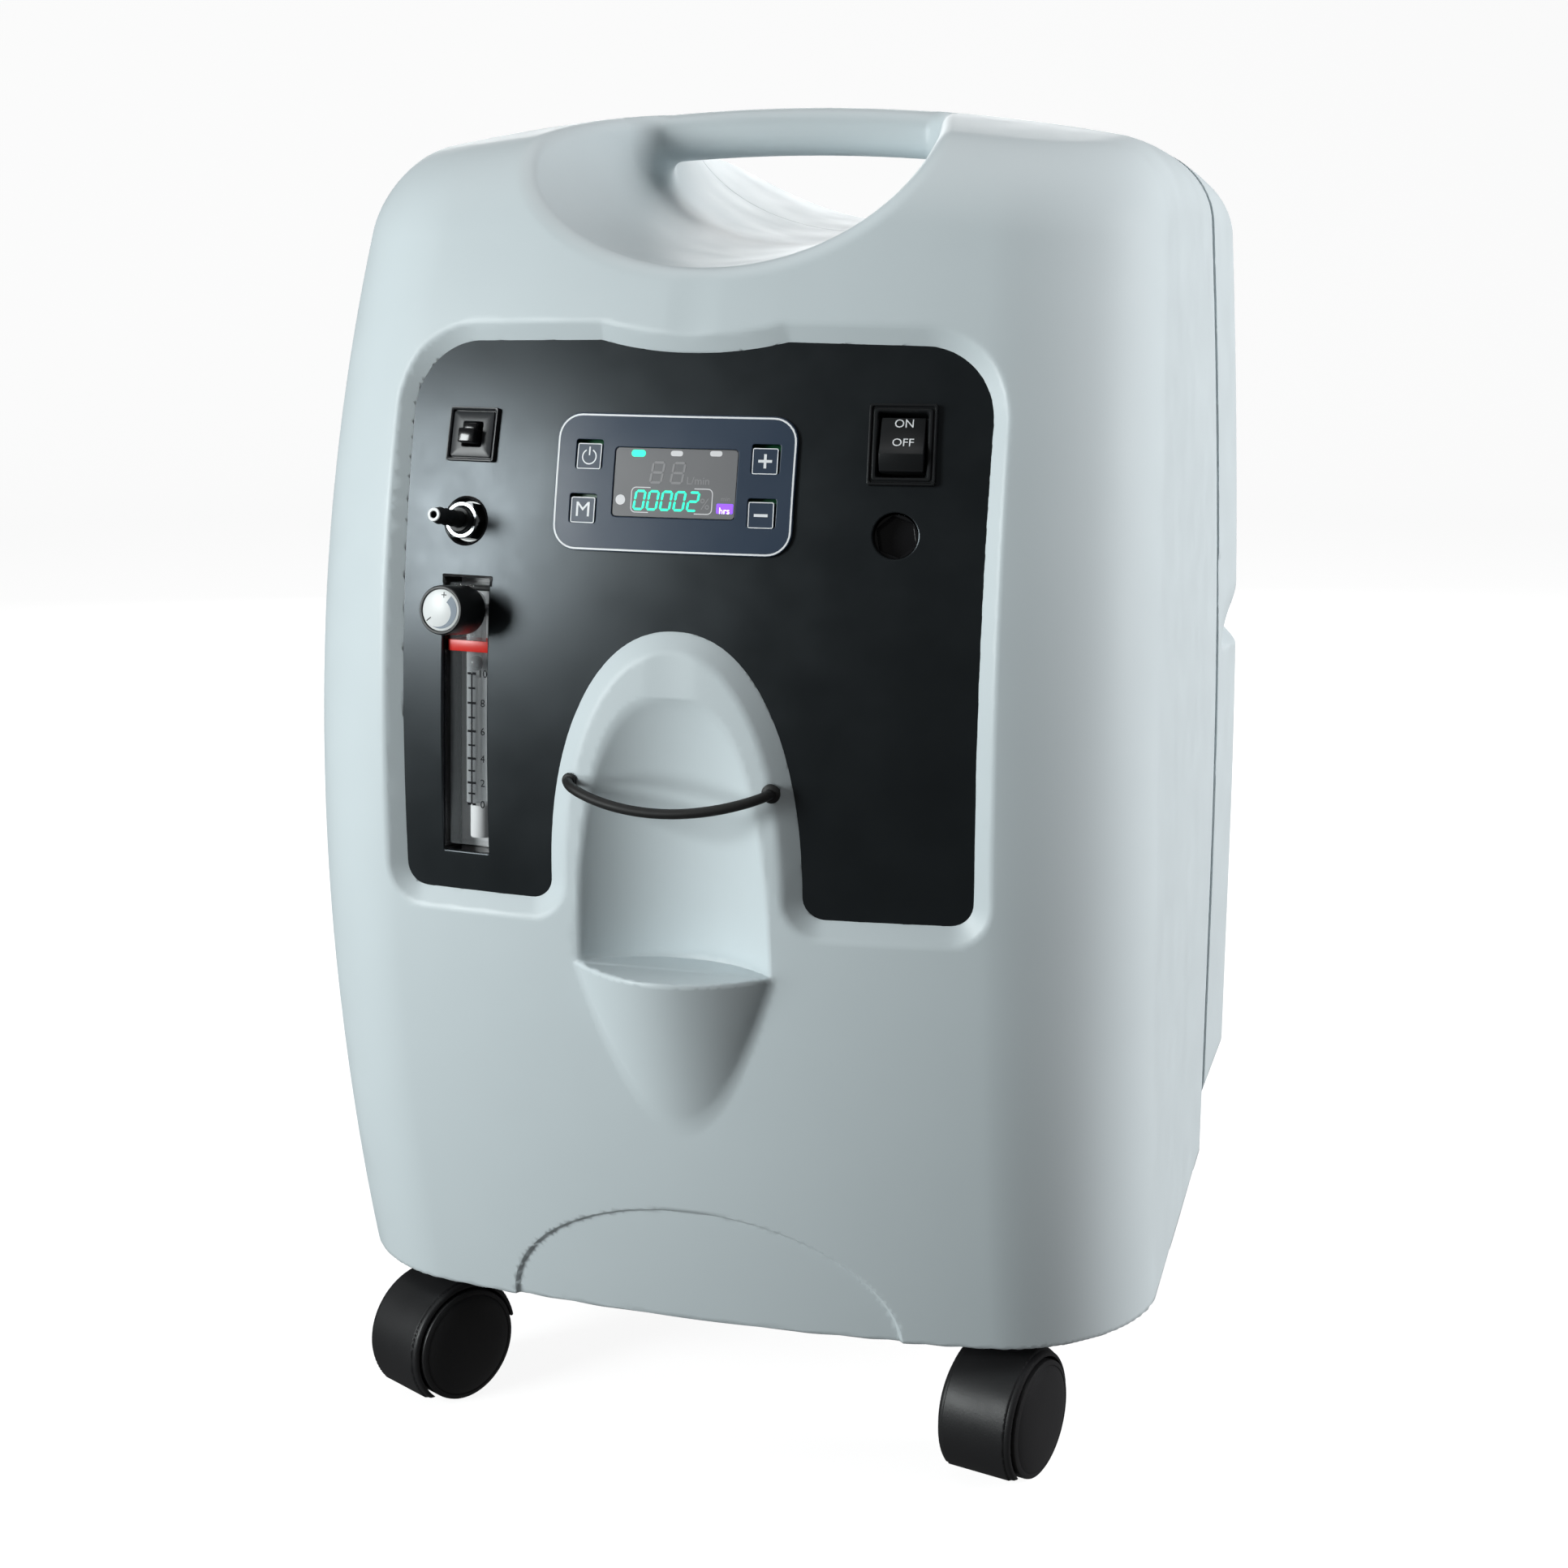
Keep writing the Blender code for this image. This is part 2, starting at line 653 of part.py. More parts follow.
def build_control_panel():
    """The curved black panel with a cut-out for each fitting."""
    panel = front_patch("control_panel", PANEL_DEPTH, PANEL_DEPTH + PANEL_T)
    combine(panel, panel_prism("panel_edge", -GAP, -0.03, 0.04), "INTERSECT")
    cuts = [
        local_box("cut", (-BREAKER_SIDE / 2 + 0.002, -0.01, -BREAKER_SIDE / 2 + 0.002),
                  (BREAKER_SIDE / 2 - 0.002, 0.02, BREAKER_SIDE / 2 - 0.002), seat(*BREAKER_AT), SHELL, True),
        local_cylinder("cut", 0.0058, (0, -0.01, 0), (0, 0.02, 0), seat(*OUTLET_AT), SHELL, True, 20),
        local_box("cut", (-SLOT_HALF[0], -0.01, -SLOT_HALF[1]), (SLOT_HALF[0], 0.02, SLOT_HALF[1]),
                  seat(*FLOW_AT), SHELL, True),
        local_box("cut", (-DISPLAY_WINDOW_HALF[0], -0.01, -DISPLAY_WINDOW_HALF[1]),
                  (DISPLAY_WINDOW_HALF[0], 0.02, DISPLAY_WINDOW_HALF[1]), seat(*DISPLAY_AT), SHELL, True),
        local_box("cut", (-ROCKER_HALF[0] + 0.002, -0.01, -ROCKER_HALF[1] + 0.002),
                  (ROCKER_HALF[0] - 0.002, 0.02, ROCKER_HALF[1] - 0.002), seat(*ROCKER_AT), SHELL, True),
        local_cylinder("cut", BLANK_R, (0, -0.01, 0), (0, 0.02, 0), seat(*BLANK_AT), SHELL, True, 24),
    ]
    for cut in cuts:
        combine(panel, cut)
    return as_part(panel, PANEL)


def build_display():
    """Overlay film, its four keys and the screen module behind."""
    frame = seat(*DISPLAY_AT)
    wide, high = DISPLAY_HALF
    overlay = local_box("display_overlay", (-wide, -0.0016, -high), (wide, -GAP, high), frame, OVERLAY)
    holes = [("hole", centre, KEY_SIDE / 2 + GAP, KEY_SIDE / 2 + GAP) for centre in KEYS.values()]
    holes.append(("hole", LCD_AT, LCD_HALF[0] + GAP, LCD_HALF[1] + GAP))
    for name, (x, z), half_x, half_z in holes:
        cut = local_box(name, (x - half_x, -0.01, z - half_z), (x + half_x, 0.01, z + half_z), frame, SHELL, True)
        combine(overlay, cut)
    finish(overlay, OVERLAY)
    for name, (x, z) in KEYS.items():
        half = KEY_SIDE / 2
        key = local_box(name, (-half, -0.0008, -half), (half, 0.0016, half),
                        frame @ Matrix.Translation((x, -0.0012, z)), OVERLAY, bevel=0.0004)
        key.data.shade_flat()
    board = local_box("display_module", (-0.042, 0.0045, -0.020), (0.042, 0.0061, 0.020), frame, BOARD)
    screen = local_box("screen", (LCD_AT[0] - LCD_HALF[0], -0.0012, LCD_AT[1] - LCD_HALF[1]),
                       (LCD_AT[0] + LCD_HALF[0], 0.0050, LCD_AT[1] + LCD_HALF[1]), frame, SCREEN, True)
    combine(board, screen, "UNION")
    finish(board, BOARD)


def finish(ob, mat):
    """Give a combined part one material and clean shading."""
    ob.data.materials.clear()
    ob.data.materials.append(mat)
    for poly in ob.data.polygons:
        poly.material_index = 0
    ob.data.shade_smooth()
    ob.data.set_sharp_from_angle(angle=math.radians(35))


def build_rocker():
    """Mains rocker switch: a bezel with its body, and the tilting rocker."""
    frame = seat(*ROCKER_AT)
    wide, high = ROCKER_HALF
    bezel = local_box("rocker_bezel", (-wide, -0.0022, -high), (wide, -GAP, high), frame, BLACK, bevel=0.0006)
    body = local_box("body", (-wide + 0.0025, -0.001, -high + 0.0025), (wide - 0.0025, 0.020, high - 0.0025),
                     frame, BLACK, True)
    combine(bezel, body, "UNION")
    well = local_box("well", (-wide + 0.0037, -0.01, -high + 0.0033), (wide - 0.0037, 0.010, high - 0.0033),
                     frame, BLACK, True)
    combine(bezel, well)
    finish(bezel, BLACK)
    tilt = Matrix.Rotation(math.radians(ROCKER_TILT), 4, "X")
    half_x, half_z = wide - 0.0045, high - 0.0050
    front = [(-0.0022, half_z), (-0.0018, 0.0060), (-0.0022, 0.0010), (-0.0046, -0.0045), (-0.0034, -0.0075),
             (-0.0010, -half_z)]
    profile = front + [(0.0040, -half_z), (0.0070, 0.0), (0.0040, half_z)]
    rings = [[(x, y, z) for y, z in profile] for x in (-half_x, half_x)]
    rocker = loft("rocker_button", rings, BLACK)
    settle(rocker, frame @ tilt)


def build_breaker():
    """Push-to-reset breaker: square plate with its body, and the button."""
    frame = seat(*BREAKER_AT)
    half = BREAKER_SIDE / 2
    body = local_box("breaker_body", (-half, -0.0016, -half), (half, -GAP, half), frame, BLACK, bevel=0.0004)
    can = local_box("can", (-half + 0.003, -0.001, -half + 0.003), (half - 0.003, 0.022, half - 0.003), frame,
                    BLACK, True)
    combine(body, can, "UNION")
    hole = local_box("hole", (-0.0040, -0.01, -0.0045), (0.0040, 0.012, 0.0045), frame, BLACK, True)
    combine(body, hole)
    finish(body, BLACK)
    local_box("breaker_button", (-0.0036, -0.0065, -0.0041), (0.0036, 0.0060, 0.0041), frame, BLACK, bevel=0.0006)


def build_outlet():
    """Chrome hex nut and the black barb for the outlet tube, and the blank plug."""
    frame = seat(*OUTLET_AT)
    nut = local_cylinder("outlet_nut", 0.0080, (0, -0.0040, 0), (0, -GAP, 0), frame, CHROME, sides=6)
    combine(nut, local_cylinder("hole", 0.0050 + GAP, (0, -0.01, 0), (0, 0.01, 0), frame, CHROME, True, 20))
    finish(nut, CHROME)
    barb = local_cylinder("outlet_barb", 0.0050, (0, -0.0060, 0), (0, 0.0160, 0), frame, BLACK, sides=20)
    for k in range(4):
        start = -0.0055 - 0.0048 * k
        ridge = local_cylinder("ridge", 0.0034, (0, start, 0), (0, start - 0.0050, 0), frame, BLACK, True, 16,
                               0.0026)
        combine(barb, ridge, "UNION")
    combine(barb, local_cylinder("bore", 0.0014, (0, -0.04, 0), (0, 0.04, 0), frame, BLACK, True, 12))
    finish(barb, BLACK)
    frame = seat(*BLANK_AT)
    plug = local_cylinder("blank_plug", BLANK_R - GAP, (0, 0.0035, 0), (0, 0.0100, 0), frame, BLACK)
    combine(plug, local_cylinder("socket", 0.0058, (0, 0.0, 0), (0, 0.0060, 0), frame, BLACK, True, 6))
    finish(plug, BLACK)


def build_flowmeter():
    """Acrylic rotameter: block with a tapered bore, ball, red limit band, knob and valve stem."""
    frame = seat(*FLOW_AT)
    wide, high = FLOW_HALF
    block = local_box("flowmeter_block", (-wide, FLOW_FRONT, -high), (wide, FLOW_BACK, high), frame, ACRYLIC)
    middle = (FLOW_FRONT + FLOW_BACK) / 2
    combine(block, local_cylinder("bore", BORE_R, (0, middle, -high - 0.01), (0, middle, BALL_Z + BALL_R + 0.001),
                                  frame, ACRYLIC, True, 16))
    knob_frame = seat(*KNOB_AT)
    combine(block, local_cylinder("stem_hole", STEM_R + GAP, (0, -0.02, 0), (0, 0.0115, 0), knob_frame, ACRYLIC,
                                  True, 16))
    finish(block, ACRYLIC)
    bm = bmesh.new()
    bmesh.ops.create_uvsphere(bm, u_segments=12, v_segments=8, radius=BALL_R)
    ball = place("flowmeter_ball", mesh_from(bm, "flowmeter_ball"), BLACK)
    settle(ball, frame @ Matrix.Translation((0, middle, BALL_Z)))
    band = local_box("flowmeter_band", (-wide - 0.0007, FLOW_FRONT - 0.0008, BAND_Z - 0.0022),
                     (wide + 0.0007, FLOW_BACK + 0.0008, BAND_Z + 0.0022), frame, RED)
    combine(band, local_box("hole", (-wide - GAP, FLOW_FRONT - GAP, -0.06), (wide + GAP, FLOW_BACK + GAP, 0.06),
                            frame, RED, True))
    finish(band, RED)
    knob = local_cylinder("flow_knob", KNOB_R, (0, -KNOB_L - 0.002, 0), (0, -0.002, 0), knob_frame, BLACK, sides=20)
    combine(knob, local_cylinder("hole", STEM_R + GAP, (0, -0.012, 0), (0, 0.01, 0), knob_frame, BLACK, True, 16))
    finish(knob, BLACK)
    local_cylinder("valve_stem", STEM_R, (0, -0.0110, 0), (0, 0.0105, 0), knob_frame, STEEL, sides=14)


def build_strap():
    """Rubber cord that holds a humidifier bottle, hung between two holes."""
    knots = []
    y = front_y(STRAP_X, STRAP_Z)
    middle = front_y(0.0, STRAP_Z)
    for share in (-1.0, -0.99, -0.80, -0.40, 0.0, 0.40, 0.80, 0.99, 1.0):
        bulge = 1 - share * share
        knots.append((STRAP_X * share, y - 0.003 + (middle - 0.012 - y) * bulge ** 0.6, STRAP_Z - 0.007 * bulge))
    first, last = Vector(knots[0]), Vector(knots[-1])
    knots[0] = (first.x, y + 0.006, first.z)
    knots[-1] = (last.x, y + 0.006, last.z)
    tube("humidifier_strap", smooth_run(knots, 3), STRAP_R, RUBBER)


# ---------------------------------------------------------------- chassis and casters
def build_tray():
    """The base plate that closes the casing and carries everything inside."""
    bm = bmesh.new()
    low, high = Vector((-0.1685, -0.136, TRAY_Z)), Vector((0.1685, 0.186, TRAY_Z + TRAY_T))
    move = Matrix.Translation((low + high) / 2) @ Matrix.Diagonal((*(high - low), 1.0))
    bmesh.ops.create_cube(bm, size=1.0, matrix=move)
    uprights = [e for e in bm.edges if abs(e.verts[0].co.z - e.verts[1].co.z) > 0.001]
    front = [e for e in uprights if e.verts[0].co.y < 0]
    rear = [e for e in uprights if e.verts[0].co.y > 0]
    bmesh.ops.bevel(bm, geom=front, offset=0.050, segments=5, affect="EDGES", profile=0.5)
    bmesh.ops.bevel(bm, geom=rear, offset=0.018, segments=3, affect="EDGES", profile=0.5)
    tray = place("base_tray", mesh_from(bm, "base_tray"), STEEL)
    for x in (-0.05, 0.05):  # air slots under the compressor
        combine(tray, box("slot", (x - 0.004, -0.02, 0.05), (x + 0.004, 0.06, 0.08), STEEL, True))
    for x, y in CASTER_SPOTS.values():
        combine(tray, cylinder("hole", PIN_R + 0.0005, (x, y, 0.05), (x, y, 0.08), STEEL, True, 10))
    finish(tray, STEEL)


CASTER_SPOTS = {
    "front_left": (-CASTER_X, CASTER_FRONT_Y),
    "front_right": (CASTER_X, CASTER_FRONT_Y),
    "rear_left": (-CASTER_X, CASTER_REAR_Y),
    "rear_right": (CASTER_X, CASTER_REAR_Y),
}


def build_caster(spot):
    """One hooded twin-wheel caster: stem, swivelling hood, and wheels on their axle."""
    x, y = CASTER_SPOTS[spot]
    frame = Matrix.Translation((x, y, 0)) @ Matrix.Rotation(math.radians(-CASTER_HEADINGS[spot]), 4, "Z")
    stem = cylinder("caster_stem_" + spot, 0.0110, (0, 0, 0.0570), (0, 0, TRAY_Z - GAP), STEEL, sides=14)
    combine(stem, cylinder("pin", PIN_R, (0, 0, 0.0400), (0, 0, TRAY_Z + TRAY_T + 0.002), STEEL, True, 10), "UNION")
    settle(stem, frame)
    finish(stem, STEEL)

    axle = Vector((0.0, -CASTER_TRAIL, WHEEL_R))
    hood_r = WHEEL_R + 0.0040
    hood_half = WHEEL_SET_HALF - 0.0045
    hood = cylinder("caster_hood_" + spot, hood_r, axle - Vector((hood_half, 0, 0)), axle + Vector((hood_half, 0, 0)),
                    BLACK, sides=20)
    boss = cylinder("boss", 0.0125, (0, 0.001, 0.030), (0, 0.001, 0.0565), BLACK, True, 14)
    combine(hood, boss, "UNION")
    for side in (-1, 1):  # the wheels run in the hollow on each side of the centre web
        inner = axle + Vector((side * WEB_HALF, 0, 0))
        outer = axle + Vector((side * 0.040, 0, 0))
        combine(hood, cylinder("hollow", WHEEL_R + 0.0012, inner, outer, BLACK, True, 20))
    low_cut = box("low_cut", (-0.04, -0.06, -0.02), (0.04, 0.04, 0.0055), BLACK, True)
    combine(hood, low_cut)
    open_side = box("open_side", (-0.04, 0.0150 - CASTER_TRAIL, -0.02), (0.04, 0.06, 0.0300), BLACK, True)
    combine(hood, open_side)
    combine(hood, cylinder("pin_hole", PIN_R + GAP, (0, 0, 0.0395), (0, 0, 0.08), BLACK, True, 10))
    combine(hood, cylinder("axle_hole", 0.0030 + GAP, axle - Vector((0.05, 0, 0)), axle + Vector((0.05, 0, 0)),
                           BLACK, True, 10))
    settle(hood, frame)
    finish(hood, BLACK)

    wheels = cylinder("caster_wheels_" + spot, 0.0030, (-0.012, 0, 0), (0.012, 0, 0), BLACK, sides=10)
    for side in (-1, 1):
        tread = cylinder("tread", WHEEL_R, (side * (WEB_HALF + 0.001), 0, 0), (side * (WHEEL_SET_HALF - 0.003), 0, 0),
                         BLACK, True, 24)
        combine(wheels, tread, "UNION")
        face = cylinder("face", WHEEL_R - 0.0003, (side * (WHEEL_SET_HALF - 0.0040), 0, 0),
                        (side * WHEEL_SET_HALF, 0, 0), BLACK, True, 24, WHEEL_R - 0.0045)
        combine(wheels, face, "UNION")
    settle(wheels, frame @ Matrix.Translation(axle))
    finish(wheels, BLACK)


# ---------------------------------------------------------------- inside
def build_compressor():
    """Twin-head oil-free compressor on four rubber mounts."""
    body = cylinder("compressor_motor", 0.048, (-0.052, 0.02, 0.138), (0.052, 0.02, 0.138), ALUMINIUM, sides=20)
    combine(body, box("foot", (-0.048, -0.028, 0.0855), (0.048, 0.068, 0.100), ALUMINIUM, True), "UNION")
    finish(body, ALUMINIUM)
    for side, name in ((-1, "left"), (1, "right")):
        start, end = sorted((side * 0.0523, side * 0.092))
        crank = box("compressor_head_" + name, (start, -0.018, 0.100), (end, 0.058, 0.176), ALUMINIUM, bevel=0.006)
        head = cylinder("head", 0.019, (side * 0.072, 0.02, 0.170), (side * 0.072, 0.02, 0.204), ALUMINIUM, True, 20)
        combine(crank, head, "UNION")
        finish(crank, ALUMINIUM)
    mounts = box("compressor_mounts", (-0.052, -0.030, 0.0815), (0.052, 0.070, 0.0850), RUBBER)
    for x in (-0.040, 0.040):
        for y in (-0.016, 0.056):
            post = cylinder("post", 0.008, (x, y, TRAY_Z + TRAY_T + GAP), (x, y, 0.0830), RUBBER, True, 12)
            combine(mounts, post, "UNION")
    finish(mounts, RUBBER)


def build_fan():
    """Axial cooling fan above the compressor."""
    centre = Vector((0, 0.02, 0.262))
    half = 0.060
    frame = box("fan_frame", centre - Vector((half, half, 0.0125)), centre + Vector((half, half, 0.0125)), BLACK)
    combine(frame, cylinder("hole", 0.0565, centre - Vector((0, 0, 0.02)), centre + Vector((0, 0, 0.02)), BLACK,
                            True, 24))
    for k in range(2):
        arm = box("arm", (-0.058, -0.004, -0.0125), (0.058, 0.004, -0.0095), BLACK, True)
        settle(arm, Matrix.Translation(centre) @ Matrix.Rotation(math.pi / 4 + math.pi / 2 * k, 4, "Z"))
        combine(frame, arm, "UNION")
    finish(frame, BLACK)
    rotor = cylinder("fan_rotor", 0.020, (0, 0, -0.0085), (0, 0, 0.0110), BLACK, sides=20)
    for k in range(7):
        blade = box("blade", (-0.010, 0.017, -0.001), (0.010, 0.053, 0.001), BLACK, True)
        blade.data.transform(Matrix.Rotation(math.radians(32), 4, "Y"))
        settle(blade, Matrix.Rotation(2 * math.pi * k / 7, 4, "Z"))
        combine(rotor, blade, "UNION")
    settle(rotor, Matrix.Translation(centre))
    finish(rotor, BLACK)


def coil_points(centre, radius, pitch, turns, steps):
    """Points along a level helix."""
    return [Vector((centre[0] + radius * math.cos(2 * math.pi * k / steps),
                    centre[1] + radius * math.sin(2 * math.pi * k / steps),
                    centre[2] + pitch * k / steps)) for k in range(turns * steps + 1)]


def build_air_path():
    """Sieve beds, tank, valve manifold, cooler, filters and hoses."""
    for side, name in ((-1, "left"), (1, "right")):
        low, high = (side * 0.126, 0.040, TRAY_Z + TRAY_T + 0.0015), (side * 0.126, 0.040, 0.330)
        bed = cylinder("sieve_bed_" + name, 0.031, low, high, ALUMINIUM, sides=18)
        neck = cylinder("neck", 0.010, (side * 0.126, 0.040, 0.325), (side * 0.126, 0.040, 0.344), ALUMINIUM, True, 14)
        combine(bed, neck, "UNION")
        finish(bed, ALUMINIUM)
    cylinder("product_tank", 0.030, (0.050, 0.130, 0.0680), (0.050, 0.130, 0.290), ALUMINIUM, sides=18)
    box("valve_manifold", (-0.145, 0.020, 0.3445), (0.145, 0.060, 0.372), ALUMINIUM, bevel=0.002)
    tube("cooling_coil", coil_points((0, 0.02, 0.2150), 0.044, 0.0090, 3, 10), 0.0035, COPPER)
    cylinder("intake_muffler", 0.024, (-0.050, 0.130, 0.0680), (-0.050, 0.130, 0.250), BLACK, sides=20)
    cylinder("bacteria_filter", 0.013, (-0.0916, -0.118, 0.3980), (-0.0916, -0.078, 0.3980), TUBE, sides=20)
    box("intake_filter", (FILTER_LOW[0] + 0.001, REAR_Y - 0.020, FILTER_LOW[1] + 0.001),
        (FILTER_HIGH[0] - 0.001, REAR_Y - 0.0050, FILTER_HIGH[1] - 0.001), FOAM)
    intake = [(-0.050, 0.130, 0.2512), (-0.050, 0.130, 0.265), (-0.042, 0.138, 0.310), (-0.032, 0.155, 0.350),
              (-0.030, 0.168, 0.360), (-0.030, REAR_Y - 0.0212, 0.360)]
    tube("intake_hose", smooth_run(intake, 4), 0.007, TUBE)
    supply = [(-0.072, 0.020, 0.2052), (-0.072, 0.020, 0.218), (-0.078, 0.000, 0.245), (-0.090, -0.035, 0.300),
              (-0.080, -0.012, 0.345), (-0.070, 0.006, 0.358), (-0.070, 0.0190, 0.358)]
    tube("supply_hose", smooth_run(supply, 4), 0.0045, TUBE)
    product = [(0.050, 0.130, 0.2912), (0.050, 0.130, 0.303), (0.040, 0.110, 0.350), (0.000, 0.060, 0.400),
               (-0.070, -0.010, 0.405), (-0.0916, -0.060, 0.398), (-0.0916, -0.0768, 0.398)]
    tube("product_hose", smooth_run(product, 4), 0.0040, TUBE)


def build_electrics():
    """Chassis plate with the control board and the motor capacitor."""
    plate = box("chassis_plate", (-0.080, -0.0720, TRAY_Z + TRAY_T + GAP), (0.110, -0.0700, 0.345), STEEL)
    foot = box("foot", (-0.080, -0.0720, TRAY_Z + TRAY_T + GAP), (0.110, -0.0500, TRAY_Z + TRAY_T + GAP + 0.002),
               STEEL, True)
    combine(plate, foot, "UNION")
    finish(plate, STEEL)
    board = box("control_board", (-0.060, -0.0820, 0.200), (0.090, -0.0804, 0.310), BOARD)
    for x in (-0.052, 0.082):
        for z in (0.208, 0.302):
            post = cylinder("standoff", 0.003, (x, -0.0815, z), (x, -0.0723, z), STEEL, True, 6)
            combine(board, post, "UNION")
    finish(board, BOARD)
    cylinder("motor_capacitor", 0.018, (0.080, -0.100, 0.0680), (0.080, -0.100, 0.140), ALUMINIUM, sides=20)


def build_rear_fittings():
    """Mains inlet, filter cover and exhaust grille on the rear casing."""
    low, high = INLET_LOW, INLET_HIGH
    inlet = box("power_inlet", (low[0] - 0.010, REAR_Y + GAP, low[1] - 0.004), (high[0] + 0.010, REAR_Y + 0.0025,
                high[1] + 0.004), BLACK)
    body = box("body", (low[0] + 0.0005, REAR_Y - 0.024, low[1] + 0.0005), (high[0] - 0.0005, REAR_Y + 0.001,
               high[1] - 0.0005), BLACK, True)
    combine(inlet, body, "UNION")
    well = box("well", (low[0] + 0.0025, REAR_Y - 0.018, low[1] + 0.0025), (high[0] - 0.0025, REAR_Y + 0.01,
               high[1] - 0.0025), BLACK, True)
    combine(inlet, well)
    middle_x, middle_z = (low[0] + high[0]) / 2, (low[1] + high[1]) / 2
    for x, z in ((-0.007, -0.002), (0.0, 0.0025), (0.007, -0.002)):
        pin = box("pin", (middle_x + x - 0.001, REAR_Y - 0.020, middle_z + z - 0.002),
                  (middle_x + x + 0.001, REAR_Y - 0.003, middle_z + z + 0.002), BLACK, True)
        combine(inlet, pin, "UNION")
    finish(inlet, BLACK)
    build_louvre("filter_cover", FILTER_LOW, FILTER_HIGH, 8)
    build_louvre("exhaust_grille", EXHAUST_LOW, EXHAUST_HIGH, 7)


def build_louvre(name, low, high, slots):
    """A snap-in cover with level slots that fills one opening."""
    cover = box(name, (low[0] + GAP, REAR_Y - 0.0040, low[1] + GAP), (high[0] - GAP, REAR_Y - 0.0010, high[1] - GAP),
                BLACK)
    pitch = (high[1] - low[1] - 0.010) / slots
    for k in range(slots):
        z = low[1] + 0.005 + pitch * (k + 0.5)
        combine(cover, box("slot", (low[0] + 0.006, REAR_Y - 0.02, z - pitch * 0.28),
                           (high[0] - 0.006, REAR_Y + 0.02, z + pitch * 0.28), BLACK, True))
    finish(cover, BLACK)


build_front_shell()
build_rear_shell()
build_control_panel()
build_display()
build_rocker()
build_breaker()
build_outlet()
build_flowmeter()
build_strap()
build_tray()
for caster in CASTER_SPOTS:
    build_caster(caster)
build_compressor()
build_fan()
build_air_path()
build_electrics()
build_rear_fittings()
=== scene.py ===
"""Looks of an oxygen concentrator on twin-wheel casters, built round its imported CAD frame."""

import json
import math

import bmesh
import bpy
import numpy as np
from mathutils import Matrix, Vector
from mathutils.geometry import delaunay_2d_cdt


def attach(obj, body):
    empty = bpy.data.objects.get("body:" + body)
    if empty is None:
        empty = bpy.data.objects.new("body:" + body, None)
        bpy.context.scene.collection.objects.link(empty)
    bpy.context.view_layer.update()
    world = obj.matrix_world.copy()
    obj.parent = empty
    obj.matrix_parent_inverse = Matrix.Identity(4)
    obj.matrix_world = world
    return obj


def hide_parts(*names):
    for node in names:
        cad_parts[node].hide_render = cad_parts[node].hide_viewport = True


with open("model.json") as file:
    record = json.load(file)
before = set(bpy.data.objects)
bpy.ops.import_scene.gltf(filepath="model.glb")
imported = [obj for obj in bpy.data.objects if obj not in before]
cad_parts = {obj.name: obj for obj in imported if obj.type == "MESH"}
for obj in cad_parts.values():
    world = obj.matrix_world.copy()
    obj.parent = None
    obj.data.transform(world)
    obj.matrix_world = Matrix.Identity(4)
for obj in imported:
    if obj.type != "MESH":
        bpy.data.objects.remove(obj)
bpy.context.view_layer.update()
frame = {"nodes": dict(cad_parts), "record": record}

# ---------------------------------------------------------------- the casing's dimensions, as in the CAD
FRONT_Y, FRONT_MID_Z = -0.188, 0.320
SEAM_Y, REAR_Y = 0.106, 0.2035
BODY_BASE_Z, REAR_BASE_Z, CROWN_Z = 0.060, 0.074, 0.561
HALF_WIDTH, FRONT_FLARE, CORNER_R, TOP_EDGE_R, WALL = 0.1765, 0.0035, 0.058, 0.026, 0.0058
PANEL_HALF_W, PANEL_TOP_Z, PANEL_BOTTOM_Z = 0.118, 0.4665, 0.2485
PANEL_DEPTH, PANEL_T = 0.005, 0.0025
PANEL_TOP_R, PANEL_FOOT_R = 0.028, 0.009
ARCH_HALF_W, ARCH_TOP_Z, ARCH_POWER = 0.0520, 0.3585, 0.92
DIP_HALF_W, DIP = 0.038, 0.0045
SHELF_Z, SHELF_TIP_Z, SHELF_REACH, SHELF_HALF_W = 0.2245, 0.1565, 0.0193, 0.041
NICHE_DEPTH, NICHE_TOP_Z, NICHE_R = 0.0165, 0.333, 0.059
HANDLE_Y, HANDLE_HALF = -0.003, (0.070, 0.014, 0.010)
STRAP_X, STRAP_Z, STRAP_R = 0.0412, 0.299, 0.0020
SCOOP_LIP_Z, SCOOP_REAR_Z = 0.495, 0.5135
BORDER_W = 0.0075  # sloping border around the panel
FRONT_HALF_H, FRONT_TILT, FRONT_BOW = 0.250, 0.0137, 0.656
LEAN_TOP, LEAN_TOP_CUBED, LEAN_FOOT = 0.0582, 0.0064, 0.0447
TAPER, TAPER_START_Z, TAPER_RUN = 0.0065, 0.2, 0.24
TOP_BOW, TOP_FALL_FRONT, TOP_FALL_REAR = 0.65, 1.1, 0.28
REAR_EXTRA_HALF_W, REAR_FOOT_R, REAR_CORNER_R = 0.001, 0.018, 0.024
SCOOP_START_Y, SCOOP_HALF_W, SCOOP_NARROWS, SCOOP_WIDENS = -0.150, 0.090, 0.023, 0.033
SCOOP_TOP_Z, SCOOP_TOP_DROPS, SCOOP_TOP_RISES, SCOOP_FLOOR_RISES = 0.560, 0.015, 0.004, 0.008
BAR_HALF_LENGTH, BAR_POWER = 0.082, 8 / 3
NICHE_HALF_W, SHELF_CURVE = 0.0415, 11.48
ARC_HALF_W, ARC_HALF_H, ARC_Z, ARC_DEPTH, ARC_EDGE = 0.0865, 0.0585, 0.058, 0.0018, 0.026
SCOOP_EDGE_R, REAR_SCOOP_EDGE_R, BAR_FILLET_R, FINE_EDGE_R = 0.006, 0.0045, 0.011, 0.0012
